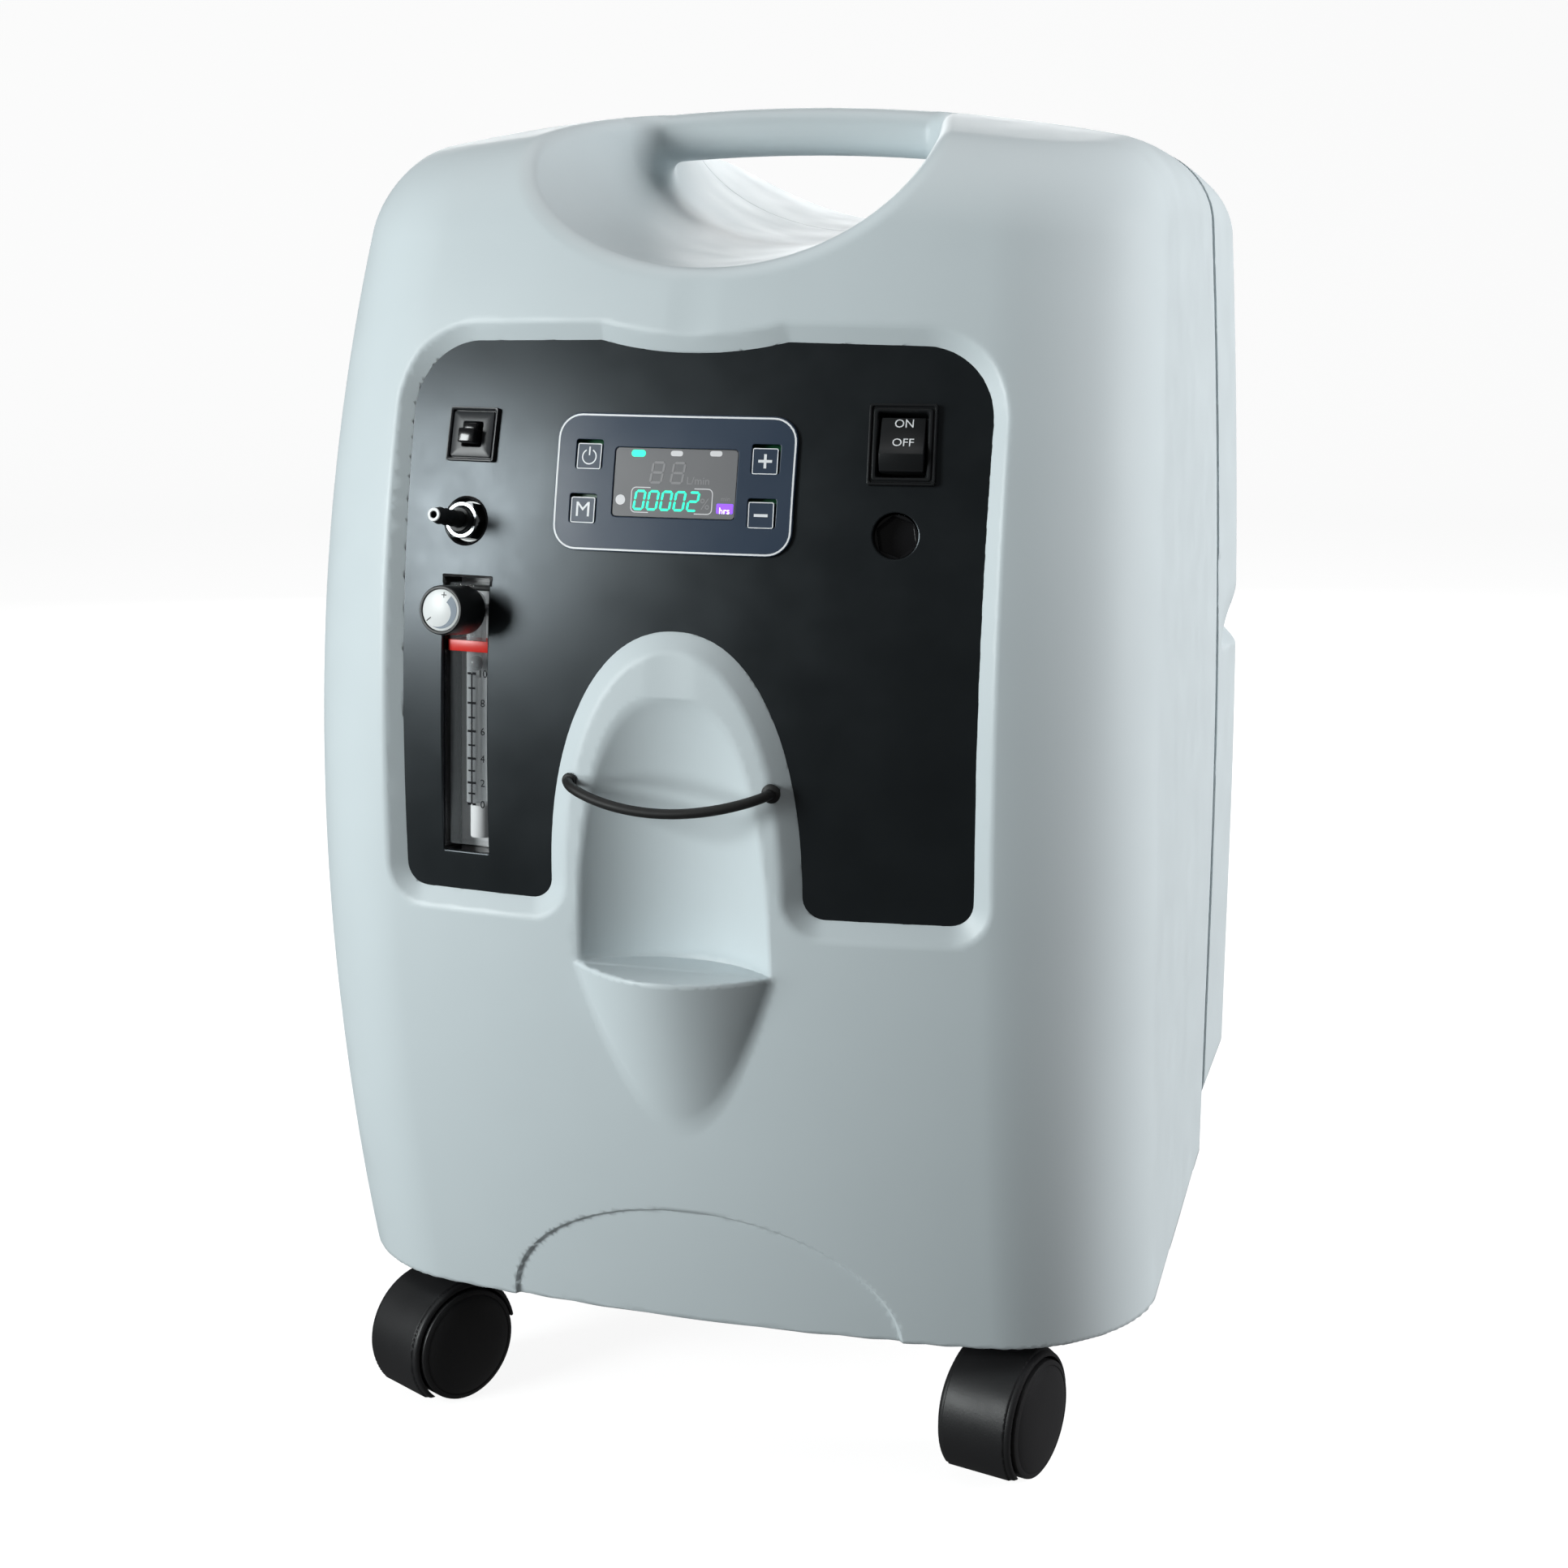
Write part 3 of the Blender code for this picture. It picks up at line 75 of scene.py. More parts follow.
SHELF_FILLET_R, BORDER_EDGE_R, SOCKET_R, SOCKET_EDGE_R = 0.0015, 0.0009, 0.0027, 0.0005
BOSS_MARGIN, BOSS_DEPTH, SHELL_GAP = 0.012, 0.0085, 0.0003
NOTCH_Z, NOTCH_MID_Z, NOTCH_HALF_H, NOTCH_RUN = 0.312, 0.330, 0.027, 0.023
SCREW_WELL_R, SCREW_WELL_DEPTH, SCREW_WELL_EDGE_R = 0.0062, 0.0022, 0.0006
FILTER_BOX = ((-0.060, 0.330), (0.060, 0.420))
EXHAUST_BOX = ((-0.080, 0.120), (0.020, 0.200))
INLET_BOX = ((0.0855, 0.135), (0.1145, 0.159))
REAR_OPENINGS = (FILTER_BOX, EXHAUST_BOX, INLET_BOX)
REAR_SCREWS = [(side * 0.145, z) for z in (0.480, 0.270, 0.110) for side in (-1, 1)]


# ---------------------------------------------------------------- surfaces of the casing as formulas
def front_y(x, z):
    """The front face, which bows across and leans back towards its top and foot."""
    t = (z - FRONT_MID_Z) / FRONT_HALF_H
    lean = np.where(t > 0, LEAN_TOP * t * t + LEAN_TOP_CUBED * t ** 3, LEAN_FOOT * t * t)
    return FRONT_Y + FRONT_TILT * t + lean + FRONT_BOW * x * x


def half_width(z):
    """Half the casing's width, which tapers towards the top."""
    return HALF_WIDTH - TAPER * (np.maximum(0.0, z - TAPER_START_Z) / TAPER_RUN) ** 2


def top_z(x, y):
    """The height of the top, which is highest at the handle."""
    run = y - HANDLE_Y
    return CROWN_Z - TOP_BOW * x * x - np.where(run < 0, TOP_FALL_FRONT, TOP_FALL_REAR) * run * run


def convex(a, b, r):
    """Intersection of two fields whose shared edge is rounded to a radius."""
    return np.minimum(-r, np.maximum(a, b)) + np.hypot(np.maximum(a + r, 0), np.maximum(b + r, 0))


def concave(a, b, r):
    """Union of two fields with a fillet where they meet."""
    return -convex(-a, -b, r)


def smoothstep(low, high, value):
    """0 below a range, 1 above it and a soft step inside it."""
    t = np.clip((value - low) / (high - low), 0, 1)
    return t * t * (3 - 2 * t)


def front_body(x, y, z):
    """The front casing without its scoop, foot and seam: negative inside."""
    wide = half_width(z)
    corner_y = front_y(wide, z) + CORNER_R
    share = np.clip((SEAM_Y - y) / (SEAM_Y - corner_y), 0, 1)
    walls = convex(front_y(x, z) - y, np.abs(x) - wide - FRONT_FLARE * share, CORNER_R)
    return convex(walls, z - top_z(x, y), TOP_EDGE_R)


def rear_body(x, y, z):
    """The rear casing without its scoop, notches and openings."""
    rear = convex(y - REAR_Y, REAR_BASE_Z - z, REAR_FOOT_R)
    walls = convex(np.abs(x) - half_width(z) - REAR_EXTRA_HALF_W, rear, REAR_CORNER_R)
    return convex(walls, z - top_z(x, y), TOP_EDGE_R)


def scoop(x, y, z):
    """The channel under the handle: negative inside it, about a distance near its surface."""
    ahead = smoothstep(SCOOP_START_Y, HANDLE_Y, y)
    behind = smoothstep(HANDLE_Y, REAR_Y, y)
    half = SCOOP_HALF_W - SCOOP_NARROWS * ahead + SCOOP_WIDENS * behind
    top = SCOOP_TOP_Z - SCOOP_TOP_DROPS * ahead + SCOOP_TOP_RISES * behind
    climb = SCOOP_REAR_Z - SCOOP_LIP_Z - SCOOP_FLOOR_RISES
    low = SCOOP_LIP_Z + SCOOP_FLOOR_RISES * ahead + climb * behind
    full = 1.0 - behind
    tall = top - low
    u = (z - low) / tall
    v = np.clip(u, -1e9, 1.0)
    rise = np.where(v < 0, v * (1 + full), v * (1 + full * (1 - v)))
    value = (x / half) ** 2 - rise
    slope_x = 2 * x / half ** 2
    slope_z = np.where(u > 1, 0.0, np.where(v < 0, 1 + full, 1 + full * (1 - 2 * v))) / tall
    return value / np.maximum(np.hypot(slope_x, slope_z), 6.0)


def bar(x, y, z):
    """The carrying bar with its rounded section."""
    _, half_y, half_z = HANDLE_HALF
    across = np.abs(y - HANDLE_Y) / half_y
    up = np.abs(z - top_z(x, y) + half_z) / half_z
    section = ((across ** BAR_POWER + up ** BAR_POWER) ** (1 / BAR_POWER) - 1) * half_z
    return np.maximum(section, np.abs(x) - BAR_HALF_LENGTH)


def niche(x, y, z):
    """The hollow for the humidifier bottle."""
    u = np.clip((z - SHELF_Z) / (NICHE_TOP_Z - SHELF_Z), 0, 1)
    depth = NICHE_DEPTH * (1 - u * u) ** 0.75
    across = np.minimum(np.abs(x), NICHE_R * 0.95)
    back = front_y(0.0, z) + depth - NICHE_R + np.sqrt(NICHE_R ** 2 - across ** 2)
    return np.maximum(np.maximum(y - back, np.abs(x) - NICHE_HALF_W), SHELF_Z - z)


def shelf(x, y, z):
    """The half-cone under the shelf."""
    u = (z - SHELF_TIP_Z) / (SHELF_Z - SHELF_TIP_Z)
    surface = front_y(x, z) - SHELF_REACH * u + SHELF_REACH / SHELF_HALF_W ** 2 * x * x
    side = (surface - y) / np.sqrt(1.08 + (2 * SHELF_CURVE * x) ** 2)
    return convex(side, z - SHELF_Z, FINE_EDGE_R)


def arc_recess(x, z):
    """How far the foot of the front is set back inside a shallow arc."""
    inside = 1 - np.hypot(x / ARC_HALF_W, (z - ARC_Z) / ARC_HALF_H)
    return ARC_DEPTH * smoothstep(0.0, ARC_EDGE, inside)


# ---------------------------------------------------------------- the panel's outline
def panel_outline(grow, fine=3):
    """The panel's outline in X and Z, counter-clockwise, spread by a margin."""
    half = []
    dips, tops, feet, arcs = 4 * fine, 6 * fine, 3 * fine, 8 * fine
    for k in range(dips):
        x = DIP_HALF_W * k / (dips - 1)
        half.append((x, PANEL_TOP_Z + 0.001 - DIP * (1 - (k / (dips - 1)) ** 2) + grow))
    right, top = PANEL_HALF_W + grow, PANEL_TOP_Z + grow
    radius = PANEL_TOP_R + grow
    for k in range(tops + 1):
        angle = math.pi / 2 * (1 - k / tops)
        half.append((right - radius + radius * math.cos(angle), top - radius + radius * math.sin(angle)))
    foot, low = PANEL_FOOT_R + grow, PANEL_BOTTOM_Z - grow
    for k in range(feet + 1):
        angle = -math.pi / 2 * k / feet
        half.append((right - foot + foot * math.cos(angle), low + foot + foot * math.sin(angle)))
    arch_w, arch_top = ARCH_HALF_W - grow, ARCH_TOP_Z - grow
    inner = arch_w + foot
    for k in range(feet + 1):
        angle = -math.pi / 2 * (1 + k / feet)
        half.append((inner + foot * math.cos(angle), low + foot + foot * math.sin(angle)))
    springing = low + foot
    for k in range(1, arcs + 1):
        angle = math.pi / 2 * k / arcs
        x = arch_w * max(math.cos(angle), 0) ** ARCH_POWER
        half.append((x, springing + (arch_top - springing) * math.sin(angle) ** ARCH_POWER))
    return half + [(-x, z) for x, z in reversed(half[1:-1])]


def outline_distance(outline, xs, zs):
    """Signed distance from points to a closed outline, negative inside."""
    p = np.stack([xs, zs], -1)[:, None, :]
    a = np.array(outline)
    b = np.roll(a, -1, 0)
    out = np.empty(len(p))
    for start in range(0, len(p), 20000):
        q = p[start:start + 20000]
        e = b - a
        w = q - a
        t = np.clip((w * e).sum(-1) / (e * e).sum(-1), 0, 1)
        d = np.sqrt((((w - t[..., None] * e)) ** 2).sum(-1).min(1))
        up = (a[:, 1] <= q[..., 1]) != (b[:, 1] <= q[..., 1])
        crossing = a[:, 0] + (q[..., 1] - a[:, 1]) * e[:, 0] / np.where(e[:, 1] == 0, 1e-12, e[:, 1])
        inside = (up & (q[..., 0] < crossing)).sum(1) % 2 == 1
        out[start:start + 20000] = np.where(inside, -d, d)
    return out


class PanelField:
    """The panel's outline distance, looked up from a fine grid."""

    def __init__(self, step=0.001):
        """Fill the grid; it reaches a little beyond the panel."""
        self.x0, self.z0, self.step = -0.150, 0.215, step
        nx, nz = int(0.300 / step) + 1, int(0.285 / step) + 1
        gx, gz = np.meshgrid(self.x0 + step * np.arange(nx), self.z0 + step * np.arange(nz), indexing="ij")
        self.grid = outline_distance(panel_outline(0.0, 4), gx.ravel(), gz.ravel()).reshape(nx, nz)

    def __call__(self, x, z):
        """The distance at points, blended between the four nearest grid values."""
        nx, nz = self.grid.shape
        u = np.clip((x - self.x0) / self.step, 0, nx - 1.001)
        v = np.clip((z - self.z0) / self.step, 0, nz - 1.001)
        i, j = u.astype(int), v.astype(int)
        u, v = u - i, v - j
        g = self.grid
        near = g[i, j] * (1 - u) + g[i + 1, j] * u
        far = g[i, j + 1] * (1 - u) + g[i + 1, j + 1] * u
        return near * (1 - v) + far * v


panel_field = PanelField()


# ---------------------------------------------------------------- solids as fields
def front_shell_field(x, y, z):
    """The front casing with its handle, niche, shelf, panel border and wall."""
    outer = front_body(x, y, z)
    channel = scoop(x, y, z)
    solid = convex(outer, -channel, SCOOP_EDGE_R)
    solid = np.maximum(concave(solid, bar(x, y, z), BAR_FILLET_R), outer)
    face = front_y(x, z)
    recess = arc_recess(x, z)
    solid = np.where(recess > 0, np.maximum(solid, face + recess - y), solid)
    edge = panel_field(x, z)
    slope = PANEL_DEPTH / BORDER_W
    border = (y - face - PANEL_DEPTH + slope * edge) / math.sqrt(1 + slope * slope)
    solid = convex(solid, -border, BORDER_EDGE_R)
    hollow = niche(x, y, z)
    solid = convex(solid, -hollow, FINE_EDGE_R)
    solid = concave(solid, shelf(x, y, z), SHELF_FILLET_R)
    socket = np.maximum(np.hypot(np.abs(x) - STRAP_X, z - STRAP_Z) - SOCKET_R, y + 0.12)
    solid = convex(solid, -socket, SOCKET_EDGE_R)
    boss = np.maximum(edge - BOSS_MARGIN, y - face - BOSS_DEPTH)
    cavity = np.maximum(np.maximum(outer + WALL, WALL - channel), np.maximum(WALL - hollow, -boss))
    solid = np.maximum(solid, -cavity)
    opening = np.maximum(edge, y + 0.08)
    solid = np.maximum(solid, -opening)
    solid = convex(solid, BODY_BASE_Z - z, FINE_EDGE_R)
    return np.maximum(solid, y - SEAM_Y + SHELL_GAP)


def notch(x, y, z):
    """Finger notches on both sides of the rear casing: a ramp that deepens towards the rear."""
    depth = -0.001 + 0.0115 * (y - SEAM_Y - 0.004) / (REAR_Y + 0.012 - SEAM_Y - 0.004)
    floor = half_width(0.32) + 0.001 - depth
    rise = np.where(z < NOTCH_Z, NOTCH_Z - z, 0)
    slope = np.maximum(0.0, (z - NOTCH_Z)) * depth / NOTCH_RUN
    inner = floor + slope + rise * 1.2
    return np.maximum(inner - np.abs(x), np.abs(z - NOTCH_MID_Z) - NOTCH_HALF_H)


def rear_shell_field(x, y, z):
    """The rear casing with its notches, openings, screw wells and wall."""
    outer = rear_body(x, y, z)
    channel = scoop(x, y, z)
    side = notch(x, y, z)
    solid = convex(outer, -channel, REAR_SCOOP_EDGE_R)
    solid = convex(solid, -side, FINE_EDGE_R)
    cavity = np.maximum(np.maximum(outer + WALL, WALL - channel), WALL - side)
    solid = np.maximum(solid, -cavity)
    for (x0, z0), (x1, z1) in REAR_OPENINGS:
        across, up = np.abs(x - (x0 + x1) / 2) - (x1 - x0) / 2, np.abs(z - (z0 + z1) / 2) - (z1 - z0) / 2
        solid = np.maximum(solid, -np.maximum(np.maximum(across, up), 0.19 - y))
    for sx, sz in REAR_SCREWS:
        well = np.maximum(np.hypot(x - sx, z - sz) - SCREW_WELL_R, REAR_Y - SCREW_WELL_DEPTH - y)
        solid = convex(solid, -well, SCREW_WELL_EDGE_R)
    solid = np.maximum(solid, REAR_BASE_Z - z)
    return np.maximum(solid, SEAM_Y + 0.0005 - y)


def seam_field(x, y, z):
    """The lip inside the seam, which overlaps both casings."""
    outer = np.maximum(front_body(x, y, z), -scoop(x, y, z))
    return np.maximum(np.maximum(outer + 0.0013, -0.0042 - outer), np.abs(y - SEAM_Y) - 0.006)


# ---------------------------------------------------------------- meshing a field
def gradient(field, p, step=2e-4):
    """Unit gradient of a field at points."""
    g = np.empty_like(p)
    for k in range(3):
        d = np.zeros(3)
        d[k] = step
        a, b = p + d, p - d
        g[:, k] = field(*a.T) - field(*b.T)
    return g / np.maximum(np.linalg.norm(g, axis=1, keepdims=True), 1e-12)


def sample(field, low, high, cell):
    """A dense array of field values that is only filled near the surface."""
    low = np.array(low)
    n = np.ceil((np.array(high) - low) / cell / 8).astype(int) * 8 + 1
    values = np.full(n, 1.0, np.float32)
    known = np.zeros(n, bool)
    blocks = np.stack(np.meshgrid(*[np.arange(0, k - 1, 8) for k in n], indexing="ij"), -1).reshape(-1, 3)
    for size in (8, 2):
        centre = low + (blocks + size / 2) * cell
        near = np.abs(field(*centre.T)) < size * cell * 1.4 + 0.0008
        blocks = blocks[near]
        if size == 8:
            sub = np.stack(np.meshgrid(*[np.arange(0, 8, 2)] * 3, indexing="ij"), -1).reshape(-1, 3)
            blocks = (blocks[:, None] + sub).reshape(-1, 3)
    corner = np.stack(np.meshgrid(*[np.arange(3)] * 3, indexing="ij"), -1).reshape(-1, 3)
    for c in corner:
        at = blocks + c
        known[at[:, 0], at[:, 1], at[:, 2]] = True
    at = np.argwhere(known)
    result = np.empty(len(at), np.float32)
    for start in range(0, len(at), 400000):
        q = low + at[start:start + 400000] * cell
        result[start:start + 400000] = field(*q.T)
    values[at[:, 0], at[:, 1], at[:, 2]] = result
    return values, known, low


def contour(field, low, high, cell):
    """Dual contouring: points and quads of the field's zero surface, with its sharp edges kept."""
    values, known, low = sample(field, low, high, cell)
    inside = values < 0
    shape = np.array(values.shape)
    owners, normals, points, quads = [], [], [], []
    strides = np.array([shape[1] * shape[2], shape[2], 1])
    for axis in range(3):
        step = np.eye(3, dtype=int)[axis]
        a = tuple(slice(0, -1) if k == axis else slice(1, -1) for k in range(3))
        b = tuple(slice(1, None) if k == axis else slice(1, -1) for k in range(3))
        change = (inside[a] != inside[b]) & known[a] & known[b]
        at = np.argwhere(change) + np.array([0 if k == axis else 1 for k in range(3)])
        if not len(at):
            continue
        va, vb = values[tuple(at.T)], values[tuple((at + step).T)]
        lo_t, hi_t = np.zeros(len(at)), np.ones(len(at))
        fa, fb = va.astype(float), vb.astype(float)
        t = fa / (fa - fb)
        for _ in range(3):
            p = low + (at + t[:, None] * step) * cell
            f = field(*p.T)
            same = (f < 0) == (fa < 0)
            lo_t, hi_t = np.where(same, t, lo_t), np.where(same, hi_t, t)
            fa, fb = np.where(same, f, fa), np.where(same, fb, f)
            t = np.clip(lo_t + (hi_t - lo_t) * fa / np.where(fa == fb, 1, fa - fb), 0, 1)
        p = low + (at + t[:, None] * step) * cell
        g = gradient(field, p)
        u, v = [np.eye(3, dtype=int)[(axis + k) % 3] for k in (1, 2)]
        cells = [at - u - v, at - v, at, at - u]
        ids = [c @ strides for c in cells]
        flip = va < 0
        quad = np.stack(ids, 1)
        quads.append(np.where(flip[:, None], quad, quad[:, ::-1]))
        for i in ids:
            owners.append(i)
            normals.append(g)
            points.append(p)
    owners, normals, points = np.concatenate(owners), np.concatenate(normals), np.concatenate(points)
    quads = np.concatenate(quads)
    used, index = np.unique(owners, return_inverse=True)
    n = len(used)
    count = np.bincount(index, minlength=n)
    mass = np.stack([np.bincount(index, points[:, k], n) for k in range(3)], 1) / count[:, None]
    offset = ((points - mass[index]) * normals).sum(1)
    ata, atb = np.empty((n, 3, 3)), np.empty((n, 3))
    for i in range(3):
        atb[:, i] = np.bincount(index, normals[:, i] * offset, n)
        for j in range(i, 3):
            ata[:, i, j] = ata[:, j, i] = np.bincount(index, normals[:, i] * normals[:, j], n)
    ata += 0.02 * count[:, None, None] * np.eye(3)
    vertex = mass + np.linalg.solve(ata, atb[..., None])[..., 0]
    cell_at = np.stack(np.unravel_index(used, shape), 1)
    vertex = np.clip(vertex, low + (cell_at - 0.1) * cell, low + (cell_at + 1.1) * cell)
    faces = np.searchsorted(used, quads)
    return vertex, faces


def mesh_from_arrays(name, points, faces):
    """A mesh from arrays of points and equal-sided faces."""
    mesh = bpy.data.meshes.new(name)
    sides = faces.shape[1]
    mesh.vertices.add(len(points))
    mesh.vertices.foreach_set("co", points.astype(np.float32).ravel())
    mesh.loops.add(faces.size)
    mesh.loops.foreach_set("vertex_index", faces.astype(np.int32).ravel())
    mesh.polygons.add(len(faces))
    mesh.polygons.foreach_set("loop_start", np.arange(0, faces.size, sides, dtype=np.int32))
    mesh.polygons.foreach_set("loop_total", np.full(len(faces), sides, np.int32))
    mesh.update(calc_edges=True)
    mesh.validate()
    return mesh


def applied(ob):
    """Replace an object's mesh by its mesh with the modifiers applied."""
    graph = bpy.context.evaluated_depsgraph_get()
    mesh = bpy.data.meshes.new_from_object(ob.evaluated_get(graph))
    ob.modifiers.clear()
    ob.data = mesh
    return ob


def values_of(items, attribute, kind, width=1):
    """An attribute of many mesh items as an array with a row for each item."""
    values = np.empty(len(items) * width, kind)
    items.foreach_get(attribute, values)
    return values.reshape(-1, width) if width > 1 else values


def smooth_by_field(ob, field, lean=0.12):
    """Shading normals read from the field, a little inside each face so that sharp edges stay sharp."""
    mesh = ob.data
    mesh.shade_smooth()
    vertex = values_of(mesh.loops, "vertex_index", np.int32)
    co = values_of(mesh.vertices, "co", np.float32, 3)[vertex].astype(float)
    total = values_of(mesh.polygons, "loop_total", np.int32)
    centre = np.repeat(values_of(mesh.polygons, "center", np.float32, 3), total, 0)
    flat = np.repeat(values_of(mesh.polygons, "normal", np.float32, 3), total, 0)
    normal = gradient(field, co + lean * (centre - co), 1e-4)
    wild = (normal * flat).sum(1) < 0.5
    normal[wild] = flat[wild]
    mesh.normals_split_custom_set(normal)


def link(name, mesh):
    """An object for a mesh, in the scene."""
    ob = bpy.data.objects.new(name, mesh)
    bpy.context.scene.collection.objects.link(ob)
    return ob


def field_piece(name, field, low, high, cell, faces_wanted):
    """A finished piece from a field: contoured, thinned and shaded."""
    points, faces = contour(field, low, high, cell)
    ob = link(name, mesh_from_arrays(name, points, faces))
    if len(faces) * 2 > faces_wanted:  # a quad counts as two triangles
        thin = ob.modifiers.new("thin", "DECIMATE")
        thin.ratio = faces_wanted / (len(faces) * 2)
        applied(ob)
    smooth_by_field(ob, field)
    return ob


def object_from_bmesh(name, bm, sharp=35):
    """An object from a bmesh, smooth except where faces meet at more than an angle in degrees."""
    mesh = bpy.data.meshes.new(name)
    bm.to_mesh(mesh)
    bm.free()
    mesh.shade_smooth()
    mesh.set_sharp_from_angle(angle=math.radians(sharp))
    return link(name, mesh)


def mesh_object(name, points, faces, sharp=35):
    """An object from points and faces, welded, facing out and with its sharp edges marked."""
    raw = bpy.data.meshes.new("raw")
    raw.from_pydata([tuple(p) for p in points], [], faces)
    bm = bmesh.new()
    bm.from_mesh(raw)
    bpy.data.meshes.remove(raw)
    bmesh.ops.remove_doubles(bm, verts=bm.verts, dist=1e-7)
    bmesh.ops.recalc_face_normals(bm, faces=bm.faces)
    return object_from_bmesh(name, bm, sharp)


# ---------------------------------------------------------------- plates, loops and text
def seat(x, z, depth=PANEL_DEPTH):
    """Axes on the panel: +X right, +Z up the face, -Y straight out of it."""
    step = 0.001
    right = Vector((1.0, float(front_y(x + step, z) - front_y(x - step, z)) / (2 * step), 0.0)).normalized()
    up = Vector((0.0, float(front_y(x, z + step) - front_y(x, z - step)) / (2 * step), 1.0))
    up = (up - up.dot(right) * right).normalized()
    inward = up.cross(right)
    axes = Matrix((right, inward, up)).transposed().to_4x4()
    return Matrix.Translation(Vector((x, float(front_y(x, z)), z)) + depth * inward) @ axes


def rounded(cx, cz, hx, hz, r, steps=6):
    """A rectangle with round corners, counter-clockwise."""
    loop = []
    for sx, sz, turn in ((1, -1, -90), (1, 1, 0), (-1, 1, 90), (-1, -1, 180)):
        for k in range(steps + 1):
            a = math.radians(turn + 90 * k / steps)
            loop.append((cx + sx * (hx - r) + r * math.cos(a), cz + sz * (hz - r) + r * math.sin(a)))
    return loop


def circle(cx, cz, r, sides=32):
    """A circle as a loop, counter-clockwise."""
    turns = [2 * math.pi * k / sides for k in range(sides)]
    return [(cx + r * math.cos(a), cz + r * math.sin(a)) for a in turns]


def dense(loop, step):
    """The loop with extra points so that no side is longer than a step."""
    out = []
    for (ax, az), (bx, bz) in zip(loop, loop[1:] + loop[:1]):
        parts = max(1, math.ceil(math.hypot(bx - ax, bz - az) / step))
        out += [(ax + (bx - ax) * k / parts, az + (bz - az) * k / parts) for k in range(parts)]
    return out


def offset_loop(loop, distance):
    """A counter-clockwise loop moved outward along its corners' normals."""
    p = np.array(loop)
    e = np.roll(p, -1, 0) - p
    e /= np.maximum(np.linalg.norm(e, axis=1, keepdims=True), 1e-12)
    n = np.stack([e[:, 1], -e[:, 0]], 1)
    m = n + np.roll(n, 1, 0)
    m /= np.maximum((m * m).sum(1, keepdims=True) / 2, 0.5)
    return [tuple(q) for q in p + distance * m]


def triangulated(loops, step):
    """Triangles that fill the first loop less the others, with grid points inside."""
    coords, edges = [], []
    for loop in loops:
        base = len(coords)
        coords += loop
        edges += [(base + k, base + (k + 1) % len(loop)) for k in range(len(loop))]
    p = np.array(loops[0])
    gx, gz = np.meshgrid(np.arange(p[:, 0].min() + step / 2, p[:, 0].max(), step),
                         np.arange(p[:, 1].min() + step / 2, p[:, 1].max(), step))
    gx, gz = gx.ravel(), gz.ravel()
    keep = np.ones(len(gx), bool)
    for k, loop in enumerate(loops):
        d = outline_distance(loop, gx, gz)
        keep &= (d < -step * 0.35) if k == 0 else (d > step * 0.35)
    coords = coords + list(zip(gx[keep], gz[keep]))
    made = delaunay_2d_cdt([Vector(c) for c in coords], edges, [], 0, 1e-9)
    flat, tris = np.array([tuple(v) for v in made[0]]), np.array(made[2])
    centre = flat[tris].mean(1)
    inside = np.ones(len(tris), bool)
    for k, loop in enumerate(loops):
        d = outline_distance(loop, centre[:, 0], centre[:, 1])
        inside &= (d < 0) if k == 0 else (d > 0)
    if len(flat) != len(coords):
        raise ValueError("loops cross or repeat points")
    return flat, tris[inside]


def plate(name, loops, surface, thick, rim=0.0004, step=0.006, closed=True):
    """A sheet over loops, laid on a surface, with a rounded rim and a back."""
    inner = [offset_loop(loop, -rim if k == 0 else rim) for k, loop in enumerate(loops)]
    flat, tris = triangulated(inner, step)
    points = [surface(flat[:, 0], flat[:, 1], 0.0)]
    faces = [tris]
    count = len(flat)
    if closed:
        points.append(surface(flat[:, 0], flat[:, 1], thick))
        faces.append(tris[:, ::-1] + count)
    base, at = count * len(points), 0
    skin = [tuple(f) for group in faces for f in group]
    for k, (loop, small) in enumerate(zip(loops, inner)):
        n = len(loop)
        p = np.array(loop)
        mid = np.array(offset_loop(loop, (-rim if k == 0 else rim) * 0.3))
        rings = [surface(mid[:, 0], mid[:, 1], rim * 0.3), surface(p[:, 0], p[:, 1], rim),
                 surface(p[:, 0], p[:, 1], thick)]
        points += rings
        rows = [list(range(at, at + n))] + [list(range(base + n * i, base + n * (i + 1))) for i in range(3)]
        if closed:
            rows.append(list(range(count + at, count + at + n)))
        for a, b in zip(rows, rows[1:]):
            for i in range(n):
                j = (i + 1) % n
                skin.append((a[i], a[j], b[j], b[i]))
        base += 3 * n
        at += n
    return mesh_object(name, np.concatenate(points), skin, 18)


def panel_surface(x, z, depth):
    """Points on the panel's curved face at a depth behind it."""
    return np.stack([x, front_y(x, z) + PANEL_DEPTH + depth, z], 1)


def in_seat(matrix, depth0=0.0):
    """Points in a seat's own axes at a depth behind its face."""
    m = np.array(matrix)

    def surface(u, v, depth):
        local = np.stack([u, np.full(len(u), depth0 + depth), v], 1)
        return local @ m[:3, :3].T + m[:3, 3]
    return surface


def lettering(name, text, size, matrix, at, depth, align="CENTER", thick=0.00006):
    """Flat raised characters laid in a seat's axes."""
    curve = bpy.data.curves.new(name, "FONT")
    curve.body, curve.size, curve.extrude = text, size, thick
    curve.align_x, curve.align_y = align, "CENTER"
    curve.resolution_u = 3
    ob = link(name, curve)
    turn = Matrix(((1, 0, 0, at[0]), (0, 0, -1, depth), (0, 1, 0, at[1]), (0, 0, 0, 1)))
    ob.matrix_world = matrix @ turn
    bpy.context.view_layer.update()
    mesh = bpy.data.meshes.new_from_object(ob.evaluated_get(bpy.context.evaluated_depsgraph_get()))
    mesh.transform(ob.matrix_world)
    bpy.data.objects.remove(ob, do_unlink=True)
    mesh.name = name
    return link(name, mesh)


